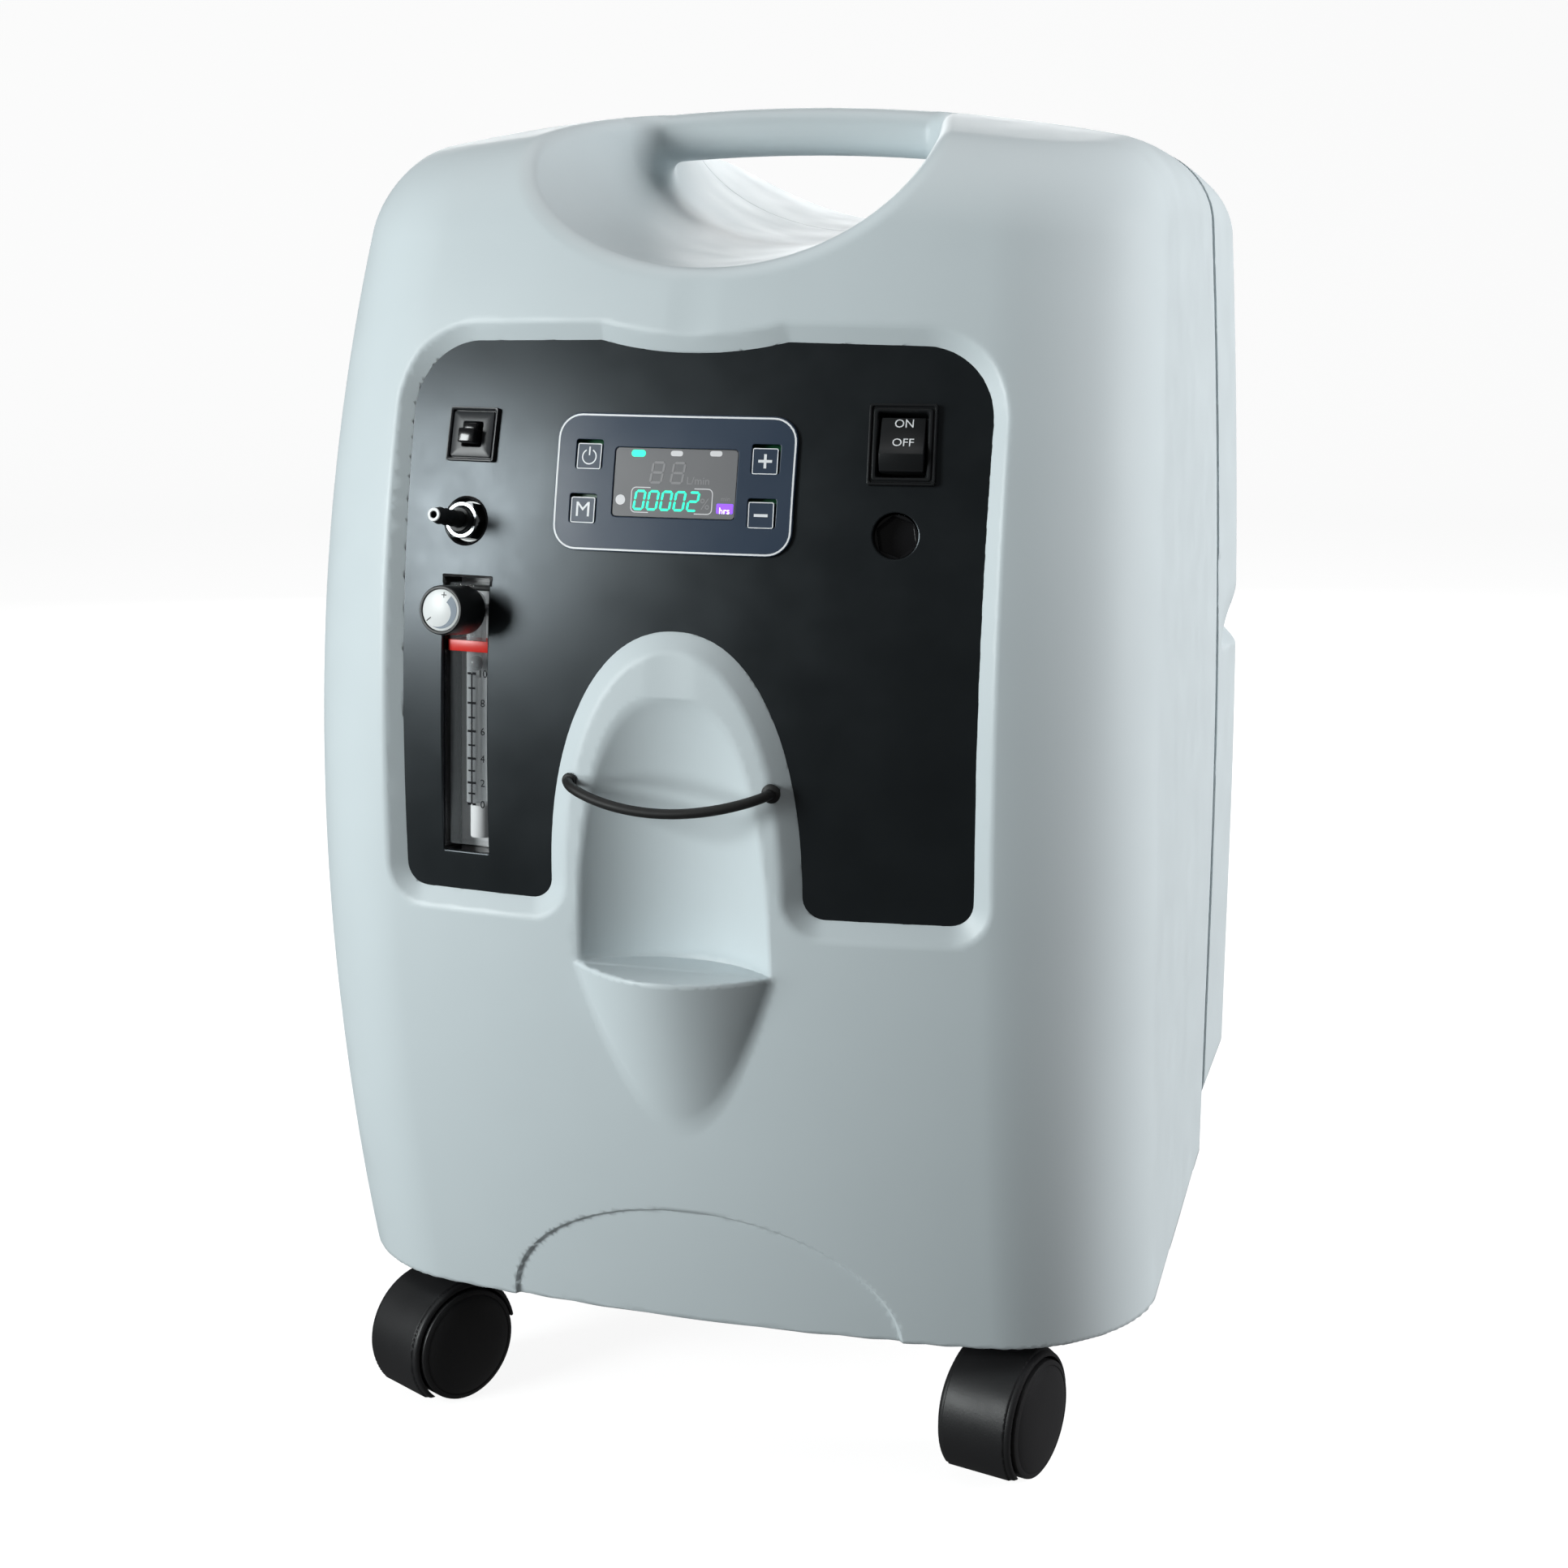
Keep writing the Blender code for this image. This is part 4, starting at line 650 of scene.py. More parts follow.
def joined(name, parts):
    """Several objects as one, materials kept."""
    if len(parts) > 1:
        with bpy.context.temp_override(active_object=parts[0], selected_editable_objects=parts):
            bpy.ops.object.join()
    parts[0].name = parts[0].data.name = name
    return parts[0]


def paint(ob, mat):
    """Give an object one material."""
    ob.data.materials.clear()
    ob.data.materials.append(mat)
    return ob


# ---------------------------------------------------------------- materials
def new_node(tree, kind, values, sources=()):
    """A node with constants on some sockets and links into others."""
    node = tree.nodes.new(kind)
    for socket, value in values.items():
        node.inputs[socket].default_value = value
    for socket, source in sources:
        tree.links.new(source, node.inputs[socket])
    return node


def noise(tree, coords, scale, detail=3.0, rough=0.55):
    """A noise value between 0 and 1."""
    values = {"Scale": scale, "Detail": detail, "Roughness": rough}
    return new_node(tree, "ShaderNodeTexNoise", values, [("Vector", coords)]).outputs["Fac"]


def spread(tree, value, low, high):
    """The middle of a noise value's range, stretched from low to high."""
    values = {"From Min": 0.3, "From Max": 0.7, "To Min": low, "To Max": high}
    return new_node(tree, "ShaderNodeMapRange", values, [("Value", value)]).outputs["Result"]


def surface_material(name, colour, rough, grain=1400.0, bump=0.12, vary=0.04, metallic=0.0, coat=0.0,
                     wear=0.0,
                     stretch=(1, 1, 1), specular=0.5):
    """A plastic, rubber or metal with fine grain, uneven gloss, slight colour drift and worn edges."""
    mat = bpy.data.materials.new(name)
    mat.use_nodes = True
    tree = mat.node_tree
    shader = tree.nodes["Principled BSDF"]
    coords = tree.nodes.new("ShaderNodeTexCoord").outputs["Object"]
    fine = coords
    if stretch != (1, 1, 1):
        fine = new_node(tree, "ShaderNodeMapping", {"Scale": stretch},
                        [("Vector", coords)]).outputs["Vector"]
    shader.inputs["Metallic"].default_value = metallic
    shader.inputs["Coat Weight"].default_value = coat
    shader.inputs["Coat Roughness"].default_value = 0.12
    shader.inputs["Specular IOR Level"].default_value = specular
    ramp = new_node(tree, "ShaderNodeValToRGB", {}, [("Fac", noise(tree, coords, 11.0, 4.0))])
    darker, lighter = ramp.color_ramp.elements
    darker.position, lighter.position = 0.3, 0.7
    darker.color = (*[c * (1 - vary) for c in colour], 1)
    lighter.color = (*[min(1, c * (1 + vary)) for c in colour], 1)
    base = ramp.outputs["Color"]
    if wear:
        point = tree.nodes.new("ShaderNodeNewGeometry").outputs["Pointiness"]
        values = {"From Min": 0.52, "From Max": 0.62, "To Max": wear}
        sharp = new_node(tree, "ShaderNodeMapRange", values, [("Value", point)])
        mix = tree.nodes.new("ShaderNodeMix")
        mix.data_type = "RGBA"
        mix.inputs["B"].default_value = (*[min(1, c * 1.25 + 0.03) for c in colour], 1)
        tree.links.new(sharp.outputs["Result"], mix.inputs["Factor"])
        tree.links.new(base, mix.inputs["A"])
        base = mix.outputs["Result"]
    gloss = spread(tree, noise(tree, coords, 45.0), rough * 0.9, min(1, rough * 1.12))
    height = noise(tree, fine, grain, 2.0, 0.6)
    relief = new_node(tree, "ShaderNodeBump", {"Strength": bump, "Distance": 0.0002}, [("Height", height)])
    tree.links.new(base, shader.inputs["Base Color"])
    tree.links.new(gloss, shader.inputs["Roughness"])
    tree.links.new(relief.outputs["Normal"], shader.inputs["Normal"])
    return mat


def glow_material(name, colour, strength, base=(0.02, 0.02, 0.02)):
    """A lit screen element with slightly uneven brightness."""
    mat = surface_material(name, base, 0.3, bump=0.02)
    shader = mat.node_tree.nodes["Principled BSDF"]
    shader.inputs["Emission Color"].default_value = (*colour, 1)
    shader.inputs["Emission Strength"].default_value = strength
    return mat


def clear_material(name, colour, middle, edge):
    """Clear plastic: see-through when looked at squarely and denser towards its outline."""
    mat = surface_material(name, colour, 0.06, bump=0.01)
    tree = mat.node_tree
    shader = tree.nodes["Principled BSDF"]
    facing = new_node(tree, "ShaderNodeLayerWeight", {"Blend": 0.35}).outputs["Facing"]
    density = new_node(tree, "ShaderNodeMapRange", {"To Min": middle, "To Max": edge}, [("Value", facing)])
    tree.links.new(density.outputs["Result"], shader.inputs["Alpha"])
    return mat


SHELL = surface_material("shell_plastic", (0.60, 0.665, 0.69), 0.42, 1700, 0.10, 0.012, wear=0.10)
PANEL = surface_material("panel_plastic", (0.006, 0.0075, 0.0085), 0.33, 2200, 0.05, 0.10, specular=0.62)
PANEL.node_tree.nodes["Principled BSDF"].inputs["Specular Tint"].default_value = (0.84, 0.93, 1.0, 1)
BLACK = surface_material("black_plastic", (0.009, 0.010, 0.011), 0.36, 1500, 0.10, 0.10, wear=0.12,
                         specular=0.35)
GLOSS_BLACK = surface_material("gloss_black", (0.008, 0.008, 0.009), 0.14, 900, 0.02, 0.08)
CASTER = surface_material("caster_plastic", (0.013, 0.013, 0.014), 0.45, 900, 0.22, 0.12, wear=0.20)
TREAD = surface_material("caster_tread", (0.016, 0.016, 0.017), 0.42, 800, 0.18, 0.15, wear=0.20)
RUBBER = surface_material("rubber", (0.010, 0.010, 0.010), 0.55, 1200, 0.15, 0.10)
OVERLAY = surface_material("overlay_film", (0.030, 0.048, 0.080), 0.32, 2600, 0.04, 0.05)
INK = surface_material("light_ink", (0.86, 0.88, 0.90), 0.45, 1500, 0.03, 0.03)
DARK_INK = surface_material("dark_ink", (0.012, 0.012, 0.014), 0.6, 1500, 0.03, 0.05, specular=0.1)
SCREEN = surface_material("screen", (0.215, 0.215, 0.222), 0.22, 1500, 0.02, 0.06)
CHROME = surface_material("chrome", (0.46, 0.48, 0.50), 0.24, 500, 0.03, 0.02, metallic=1.0)
STEEL = surface_material("steel", (0.46, 0.47, 0.49), 0.32, 600, 0.10, 0.05, metallic=1.0,
                         stretch=(1, 1, 12))
ALUMINIUM = surface_material("aluminium", (0.62, 0.63, 0.65), 0.42, 700, 0.15, 0.04, metallic=1.0)
COPPER = surface_material("copper", (0.72, 0.38, 0.22), 0.28, 700, 0.08, 0.08, metallic=1.0)
RED = surface_material("red_band", (0.62, 0.025, 0.018), 0.30, 1200, 0.04, 0.05)
WHITE = surface_material("white_plastic", (0.72, 0.74, 0.74), 0.35, 1300, 0.05, 0.02)
HOSE = surface_material("hose", (0.66, 0.69, 0.68), 0.35, 700, 0.05, 0.04)
FOAM = surface_material("foam", (0.045, 0.045, 0.05), 0.95, 260, 1.0, 0.25)
BACKING = surface_material("pale_backing", (0.78, 0.79, 0.80), 0.5, 1500, 0.05, 0.03)
SLATE = surface_material("slate_ink", (0.16, 0.20, 0.25), 0.45, 1500, 0.03, 0.04)
SMOKE = surface_material("smoke_plastic", (0.022, 0.024, 0.027), 0.34, 900, 0.03, 0.08, specular=0.4)
CLEAR = clear_material("clear_acrylic", (0.60, 0.64, 0.66), 0.03, 0.30)
BORE = clear_material("bore_wall", (0.62, 0.65, 0.67), 0.28, 0.75)
GREEN = glow_material("green_light", (0.03, 0.90, 0.50), 1.35, (0.01, 0.30, 0.20))
PALE = glow_material("pale_light", (0.80, 0.82, 0.84), 0.35, (0.45, 0.45, 0.46))
FAINT = glow_material("faint_light", (0.60, 0.60, 0.62), 0.10, (0.22, 0.22, 0.225))
VIOLET = glow_material("violet_light", (0.22, 0.08, 0.95), 1.6, (0.10, 0.03, 0.35))
LIT = glow_material("white_light", (1.0, 0.96, 1.0), 1.6, (0.6, 0.6, 0.6))
BOARD = surface_material("circuit_board", (0.02, 0.15, 0.06), 0.40, 500, 0.25, 0.20)


# ---------------------------------------------------------------- camera, floor and light
def build_camera():
    """The camera, placed and turned as in the photo."""
    data = bpy.data.cameras.new("camera")
    data.lens, data.sensor_width, data.clip_start, data.clip_end = 56.07, 36.0, 0.05, 30.0
    camera = bpy.data.objects.new("camera", data)
    bpy.context.scene.collection.objects.link(camera)
    forward = Vector((-0.2767, 0.9355, -0.2200)).normalized()
    up = Vector((-0.0624, 0.2110, 0.9756))
    right = forward.cross(up).normalized()
    up = right.cross(forward)
    turn = Matrix((right, up, -forward)).transposed().to_4x4()
    camera.matrix_world = Matrix.Translation((0.304, -1.059, 0.508)) @ turn
    bpy.context.scene.camera = camera


def lamp(name, at, towards, size, power, tint=(1, 1, 1)):
    """A soft rectangular lamp that faces a point."""
    data = bpy.data.lights.new(name, "AREA")
    data.shape, data.energy, data.color = "RECTANGLE", power, tint
    data.size, data.size_y = size
    ob = link(name, data)
    ob.location = at
    ob.rotation_mode = "QUATERNION"
    ob.rotation_quaternion = (Vector(towards) - ob.location).to_track_quat("-Z", "Y")
    return ob


PAPER_GLOW, WORLD_GLOW, COOL = 0.90, 0.085, (0.95, 1.0, 1.0)
LEFT_POWER, LOW_POWER, RIGHT_POWER, TOP_POWER, REAR_POWER = 29.0, 12.0, 62.0, 13.0, 16.0
FLOOR_R, SWEEP_R, WALL_TOP_Z = 3.5, 2.0, 9.0


def build_backdrop():
    """A round pale floor that sweeps up into a wall all around."""
    profile = [(1.5, 0.0)]
    for k in range(17):
        a = math.pi / 2 * k / 16
        profile.append((FLOOR_R + SWEEP_R * math.sin(a), SWEEP_R * (1 - math.cos(a))))
    profile += [(FLOOR_R + SWEEP_R, 6.0), (FLOOR_R + SWEEP_R, WALL_TOP_Z)]
    sides = 96
    bm = bmesh.new()
    turns = [2 * math.pi * k / sides for k in range(sides)]
    grid = [[bm.verts.new((r * math.cos(a), r * math.sin(a), z)) for a in turns] for r, z in profile]
    bm.faces.new(grid[0])
    for low, high in zip(grid, grid[1:]):
        for i in range(sides):
            j = (i + 1) % sides
            bm.faces.new((low[i], high[i], high[j], low[j]))
    bmesh.ops.recalc_face_normals(bm, faces=bm.faces)
    bmesh.ops.reverse_faces(bm, faces=bm.faces)
    mesh = bpy.data.meshes.new("backdrop")
    bm.to_mesh(mesh)
    bm.free()
    mesh.shade_smooth()
    floor = link("backdrop", mesh)
    paper = surface_material("backdrop", (0.30, 0.30, 0.30), 0.75, 300, 0.02, 0.005, specular=0.1)
    shader = paper.node_tree.nodes["Principled BSDF"]
    shader.inputs["Emission Color"].default_value = (1, 1, 1, 1)
    shader.inputs["Emission Strength"].default_value = PAPER_GLOW
    paint(floor, paper)
    floor.visible_diffuse = floor.visible_glossy = False


def build_light():
    """A dim even room and five soft lamps; two of them leave no reflection."""
    world = bpy.data.worlds.new("soft_room")
    bpy.context.scene.world = world
    world.use_nodes = True
    room = world.node_tree.nodes["Background"]
    room.inputs["Color"].default_value = (1.0, 1.0, 1.0, 1)
    room.inputs["Strength"].default_value = WORLD_GLOW
    lamp("left_bank", (-1.36, -1.62, 0.84), (-0.05, -0.1, 0.32), (0.62, 0.72), LEFT_POWER, COOL)
    low = lamp("low_bank", (-1.40, -1.25, 0.16), (-0.05, -0.1, 0.22), (0.8, 0.3), LOW_POWER, COOL)
    right = lamp("right_bank", (2.1, 0.50, 0.9), (0.1, 0.1, 0.3), (1.0, 1.8), RIGHT_POWER)
    low.visible_glossy = right.visible_glossy = False
    lamp("overhead", (-0.2, 0.1, 2.3), (0, 0, 0.3), (1.8, 1.8), TOP_POWER)
    lamp("rear_bank", (-0.7, 2.1, 0.8), (0.0, 0.2, 0.3), (1.2, 1.2), REAR_POWER)
    bpy.context.scene.view_settings.view_transform = "Standard"


# ---------------------------------------------------------------- more shapes
def add(piece, finish, body, slot, *nodes):
    """Finish a piece: its material, its body and the CAD nodes that it stands for; the slot argument is not
    used.
    """
    if finish:
        paint(piece, finish)
    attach(piece, body)
    if nodes:
        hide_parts(*nodes)
    return piece


def on_surface(surface, loop, depth):
    """A loop's points laid on a surface at one depth."""
    p = np.array(loop)
    return surface(p[:, 0], p[:, 1], np.full(len(p), depth))


def flat_shapes(name, loops, surface, front, back):
    """Thin raised shapes, one for each loop, laid on a surface."""
    points, faces = [], []
    for loop in loops:
        base, n = len(points), len(loop)
        points += list(on_surface(surface, loop, front)) + list(on_surface(surface, loop, back))
        faces.append(tuple(range(base, base + n)))
        faces.append(tuple(range(base + 2 * n - 1, base + n - 1, -1)))
        faces += [(base + i, base + (i + 1) % n, base + n + (i + 1) % n, base + n + i) for i in range(n)]
    return mesh_object(name, points, faces)


def outline_shape(name, loop, width, surface, front, back):
    """A thin raised line that runs inside a loop."""
    inner = offset_loop(loop, -width)
    rings = [on_surface(surface, loop, back), on_surface(surface, loop, front),
             on_surface(surface, inner, front), on_surface(surface, inner, back)]
    return ring_stack(name, rings + rings[:1], False)


def ring_stack(name, rings, closed_ends=True, smooth=35):
    """A skin through rings of equally many points."""
    n = len(rings[0])
    points = [tuple(p) for ring in rings for p in ring]
    faces = [(a * n + i, a * n + (i + 1) % n, (a + 1) * n + (i + 1) % n, (a + 1) * n + i)
             for a in range(len(rings) - 1) for i in range(n)]
    if closed_ends:
        faces += [tuple(range(n)), tuple(range(len(points) - n, len(points)))]
    return mesh_object(name, points, faces, smooth)


def frame_stack(name, matrix, steps, corner=0.0012, closed_ends=True, smooth=35):
    """Rounded rectangles (half width, half height, depth) stacked in a seat's axes."""
    rings = []
    for half_x, half_z, depth in steps:
        loop = rounded(0, 0, half_x, half_z, min(corner, half_x * 0.45, half_z * 0.45), 4)
        rings.append([matrix @ Vector((x, depth, z)) for x, z in loop])
    return ring_stack(name, rings, closed_ends, smooth)


def block(name, low, high, matrix, bevel, segments=2):
    """A box with rounded edges in a seat's axes."""
    bm = bmesh.new()
    low, high = Vector(low), Vector(high)
    box = Matrix.Translation((low + high) / 2) @ Matrix.Diagonal((*(high - low), 1.0))
    bmesh.ops.create_cube(bm, size=1.0, matrix=box)
    bmesh.ops.bevel(bm, geom=bm.edges[:], offset=bevel, segments=segments, affect="EDGES", profile=0.5)
    bm.transform(matrix)
    return object_from_bmesh(name, bm)


def lathe(name, profile, matrix, sides=64, smooth=35, closed=True):
    """A turned solid from (radius, depth) points, swept round a seat's Y axis."""
    turns = [(math.cos(2 * math.pi * k / sides), math.sin(2 * math.pi * k / sides)) for k in range(sides)]
    rings = [[matrix @ Vector((r * c, d, r * s)) for c, s in turns] for r, d in profile]
    return ring_stack(name, rings if closed else rings + rings[:1], closed, smooth)


def skewed(loop, centre, slant):
    """A loop leaned to the right about its middle height."""
    return [(x + (z - centre[1]) * slant, z) for x, z in loop]


def segment_loops(digit, centre, wide, high, bar, slant=0.14):
    """The lit bars of one seven-segment digit."""
    lit = {"0": "abcdef", "2": "abged", "8": "abcdefg"}[digit]
    cx, cz = centre
    x, z, g, t = wide / 2 - bar / 2, high / 2 - bar / 2, bar * 0.12, bar / 2
    ends = {"a": ((-x, z), (x, z)), "g": ((-x, 0), (x, 0)), "d": ((-x, -z), (x, -z)),
            "f": ((-x, 0), (-x, z)), "b": ((x, 0), (x, z)), "e": ((-x, -z), (-x, 0)),
            "c": ((x, -z), (x, 0))}
    loops = []
    for name in lit:
        (ax, az), (bx, bz) = ends[name]
        if az == bz:
            ax, bx = ax + g, bx - g
            loop = [(ax, az), (ax + t, az - t), (bx - t, az - t), (bx, az), (bx - t, az + t),
                    (ax + t, az + t)]
        else:
            az, bz = az + g, bz - g
            loop = [(ax, az), (ax + t, az + t), (ax + t, bz - t), (ax, bz), (ax - t, bz - t),
                    (ax - t, az + t)]
        loops.append(skewed([(cx + px, cz + pz) for px, pz in loop], centre, slant))
    return loops


def arc_band(cx, cz, inner, outer, start, end, steps=24):
    """Part of a ring, from one angle to another in degrees; the radii may change along it."""
    angles = [math.radians(start + (end - start) * k / steps) for k in range(steps + 1)]
    far, near = [], []
    for k, a in enumerate(angles):
        for side, radius in ((far, outer(k / steps)), (near, inner(k / steps))):
            side.append((cx + radius * math.cos(a), cz + radius * math.sin(a)))
    return far + near[::-1]


def rectangle(cx, cz, wide, high, turn=0.0):
    """A rectangle as a loop, turned about its middle."""
    c, s = math.cos(turn), math.sin(turn)
    x, z = wide / 2, high / 2
    return [(cx + u * c - v * s, cz + u * s + v * c) for u, v in ((-x, -z), (x, -z), (x, z), (-x, z))]


# ---------------------------------------------------------------- casing
COARSE = 1.0
BOX_HALF_W, BOX_TOP_Z = 0.184, 0.566


def build_casing():
    """Both casings and the lip between them, each from its field inside a box."""
    pieces = (("front_casing", front_shell_field, (-0.212, 0.112), 0.054, 0.0019, 190000, ("front_shell",)),
              ("rear_casing", rear_shell_field, (0.1, 0.21), 0.066, 0.0019, 90000, ("rear_shell",)),
              ("seam_lip", seam_field, (0.096, 0.116), 0.066, 0.0014, 26000, ()))
    for name, field, (front, rear), foot, cell, faces_wanted, nodes in pieces:
        low, high = (-BOX_HALF_W, front, foot), (BOX_HALF_W, rear, BOX_TOP_Z)
        piece = field_piece(name, field, low, high, cell * COARSE, faces_wanted)
        add(piece, SHELL, "casing", "shell", *nodes)


# ---------------------------------------------------------------- control panel
BREAKER_AT, OUTLET_AT = (-0.0906, 0.4315), (-0.0916, 0.3979)
FLOW_AT, KNOB_AT = (-0.0905, 0.3200), (-0.0893, 0.3629)
DISPLAY_AT, ROCKER_AT, BLANK_AT = (-0.0036, 0.4152), (0.0853, 0.4315), (0.0847, 0.3979)
SLOT_HALF, BORE_DEPTH = (0.01025, 0.0555), 0.00975
DISH_R, BLANK_R, HEX_R = 0.0092, 0.00875, 0.0080


def on_face(matrix, loop):
    """A loop in a seat's axes as a loop in the panel's X and Z."""
    return [((matrix @ Vector((u, 0, v))).x, (matrix @ Vector((u, 0, v))).z) for u, v in loop]


def build_panel():
    """The black panel with its openings, and the flowmeter's lined well."""
    holes = [on_face(seat(*BREAKER_AT), rounded(0, 0, 0.00875, 0.00875, 0.0006, 2)),
             on_face(seat(*OUTLET_AT), circle(0, 0, DISH_R, 48)),
             on_face(seat(*FLOW_AT), dense(rounded(0, 0, *SLOT_HALF, 0.0005, 2), 0.006)),
             on_face(seat(*DISPLAY_AT), dense(rounded(0, 0, 0.044, 0.022, 0.002, 2), 0.006)),
             on_face(seat(*ROCKER_AT), rounded(0, 0, 0.011, 0.0135, 0.0006, 2)),
             on_face(seat(*BLANK_AT), circle(0, 0, BLANK_R, 48))]
    panel = plate("front_panel", [dense(panel_outline(-0.0003, 3), 0.006)] + holes, panel_surface, PANEL_T,
                  0.0005, 0.005)
    add(panel, PANEL, "casing", "panel", "control_panel")
    well = seat(*FLOW_AT)
    wide, high = SLOT_HALF
    steps = [(wide + 0.0010, high + 0.0010, 0.0170), (wide + 0.0010, high + 0.0010, 0.0026),
             (wide + 0.00002, high + 0.00002, 0.0026), (wide + 0.00002, high + 0.00002, 0.0160)]
    add(frame_stack("flow_well", well, steps, 0.0006), GLOSS_BLACK, "casing", "black_plastic")
    back = plate("flow_backing", [rounded(0, 0, wide - 0.0003, high - 0.0003, 0.0004, 2)],
                 in_seat(well, 0.0152), 0.0006, 0.0001, 0.01)
    add(back, BACKING, "casing", "white_plastic")


DISPLAY_FACE = seat(*DISPLAY_AT)
KEY_AT = {"power": (-0.0349, 0.0108), "mode": (-0.0362, -0.0103), "plus": (0.0367, 0.0106),
          "minus": (0.0364, -0.0101)}
LCD_AT = (0.0009, 0.0004)


def display_seat(u, v):
    """Axes on the panel at a place in the display's own axes."""
    p = DISPLAY_FACE @ Vector((u, 0, v))
    return seat(p.x, p.z)


def display_surface(u, v, depth):
    """Points on the panel's curved face, from the display's own axes."""
    m = np.array(DISPLAY_FACE)
    x = m[0, 3] + m[0, 0] * u + m[0, 2] * v
    z = m[2, 3] + m[2, 0] * u + m[2, 2] * v
    return panel_surface(x, z, depth)


def raised_display(height):
    """The display's surface, moved out of the panel by a height."""
    return lambda u, v, depth: display_surface(u, v, depth - height)


def build_display():
    """The display's blue film with windows for the screen and keys, and its printed outline."""
    edge = dense(rounded(0, 0, 0.0487, 0.0268, 0.0098, 8), 0.005)
    windows = [rounded(u, v, 0.0056, 0.0056, 0.0008, 2) for u, v in KEY_AT.values()]
    windows.append(dense(rounded(*LCD_AT, 0.0250, 0.0135, 0.0016, 4), 0.005))
    film = plate("display_film", [edge] + windows, raised_display(0.0016), 0.0013, 0.0003, 0.005)
    add(film, OVERLAY, "casing", "overlay", "display_overlay")
    inset = offset_loop(edge, -0.0004)
    line = outline_shape("display_outline", inset, 0.0007, display_surface, -0.00168, -0.00155)
    add(line, INK, "casing", "white_plastic")


def build_keys():
    """Four square keys with a printed edge and mark each."""
    for name, (u, v) in KEY_AT.items():
        here = display_seat(u, v)
        key = plate("key_" + name + "_cap", [rounded(0, 0, 0.0051, 0.0051, 0.0008, 4)],
                    in_seat(here, -0.0019), 0.0022, 0.0004, 0.004)
        paint(key, OVERLAY)
        surface = in_seat(here)
        parts = [outline_shape("edge", rounded(0, 0, 0.0050, 0.0050, 0.0007, 4), 0.00036, surface, -0.00196,
                               -0.00185)]
        marks = []
        if name == "power":
            marks = [arc_band(0, -0.0002, lambda t: 0.0026, lambda t: 0.0031, 118, 422),
                     rectangle(0, 0.0020, 0.00055, 0.0034)]
        elif name == "plus":
            marks = [rectangle(0, 0, 0.0054, 0.00105), rectangle(0, 0.0016, 0.00105, 0.0022),
                     rectangle(0, -0.0016, 0.00105, 0.0022)]
        elif name == "minus":
            marks = [rectangle(0, -0.0001, 0.0054, 0.0011)]
        if marks:
            parts.append(flat_shapes("mark", marks, surface, -0.00197, -0.00185))
        else:
            parts.append(lettering("mark", "M", 0.0082, here, (0, 0), -0.00191))
            parts[-1].data.transform(here @ Matrix.Diagonal((1.06, 1, 1, 1)) @ here.inverted())
        for part in parts:
            paint(part, INK)
        whole = joined("key_" + name + "_cap", [key] + parts)
        add(whole, None, "key_" + name, "overlay", "key_" + name)


def shown(name, finish, loops):
    """Raised marks on the screen; loops are in its own axes."""
    moved = [[(u + LCD_AT[0], v + LCD_AT[1]) for u, v in loop] for loop in loops]
    add(flat_shapes(name, moved, display_surface, -0.00128, -0.00115), finish, "casing", "screen")


def pill(u, v, wide, high):
    """A lozenge with round ends."""
    return rounded(u, v, wide / 2, high / 2, high * 0.45, 4)


def build_screen():
    """The screen's glass, circuit board, pills, digits and unit labels."""
    pane = dense(rounded(*LCD_AT, 0.0248, 0.0133, 0.0015, 4), 0.005)
    glass = plate("screen_window", [pane], raised_display(0.0012), 0.0010, 0.0002, 0.005)
    add(glass, SCREEN, "casing", "screen", "display_module")
    board = block("display_board", (-0.042, 0.0045, -0.020), (0.042, 0.0061, 0.020), DISPLAY_FACE, 0.0003)
    add(board, BOARD, "casing", "circuit_board")
    shown("pill_green", GREEN, [pill(-0.0154, 0.0112, 0.0058, 0.0027)])
    shown("pills_grey", PALE, [pill(0.0002, 0.0115, 0.0049, 0.0021), pill(0.0160, 0.0118, 0.0049, 0.0021),
                               circle(-0.0217, -0.0069, 0.0020, 24)])
    faint = []
    for u in (-0.0072, 0.0012):
        faint += segment_loops("8", (u, 0.0040), 0.0054, 0.0086, 0.0009)
    shown("digits_faint", FAINT, faint)
    lit = []
    for k, digit in enumerate("00002"):
        lit += segment_loops(digit, (-0.0138 + 0.00545 * k, -0.0068), 0.0046, 0.0079, 0.0009)
    shown("digits_green", GREEN, lit)
    border = rounded(LCD_AT[0] - 0.0008, LCD_AT[1] - 0.0067, 0.0166, 0.0050, 0.0020, 6)
    frame_line = outline_shape("digits_frame", border, 0.00035, display_surface, -0.00128, -0.00115)
    add(frame_line, PALE, "casing", "screen")
    shown("hours_box", VIOLET, [rounded(0.0208, -0.0092, 0.0033, 0.0019, 0.0004, 2)])
    texts = [("hrs", 0.0034, (0.0208, -0.0093), LIT, -0.00136),
             ("min", 0.0026, (0.0210, -0.0046), FAINT, -0.00126),
             ("L/min", 0.0042, (0.0095, 0.0020), FAINT, -0.00126),
             ("%", 0.0060, (0.0128, -0.0070), FAINT, -0.00126)]
    for k, (text, size, (u, v), finish, depth) in enumerate(texts):
        here = display_seat(u + LCD_AT[0], v + LCD_AT[1])
        label = lettering("unit_%d" % k, text, size, here, (0, 0), depth)
        add(label, finish, "casing", "screen")


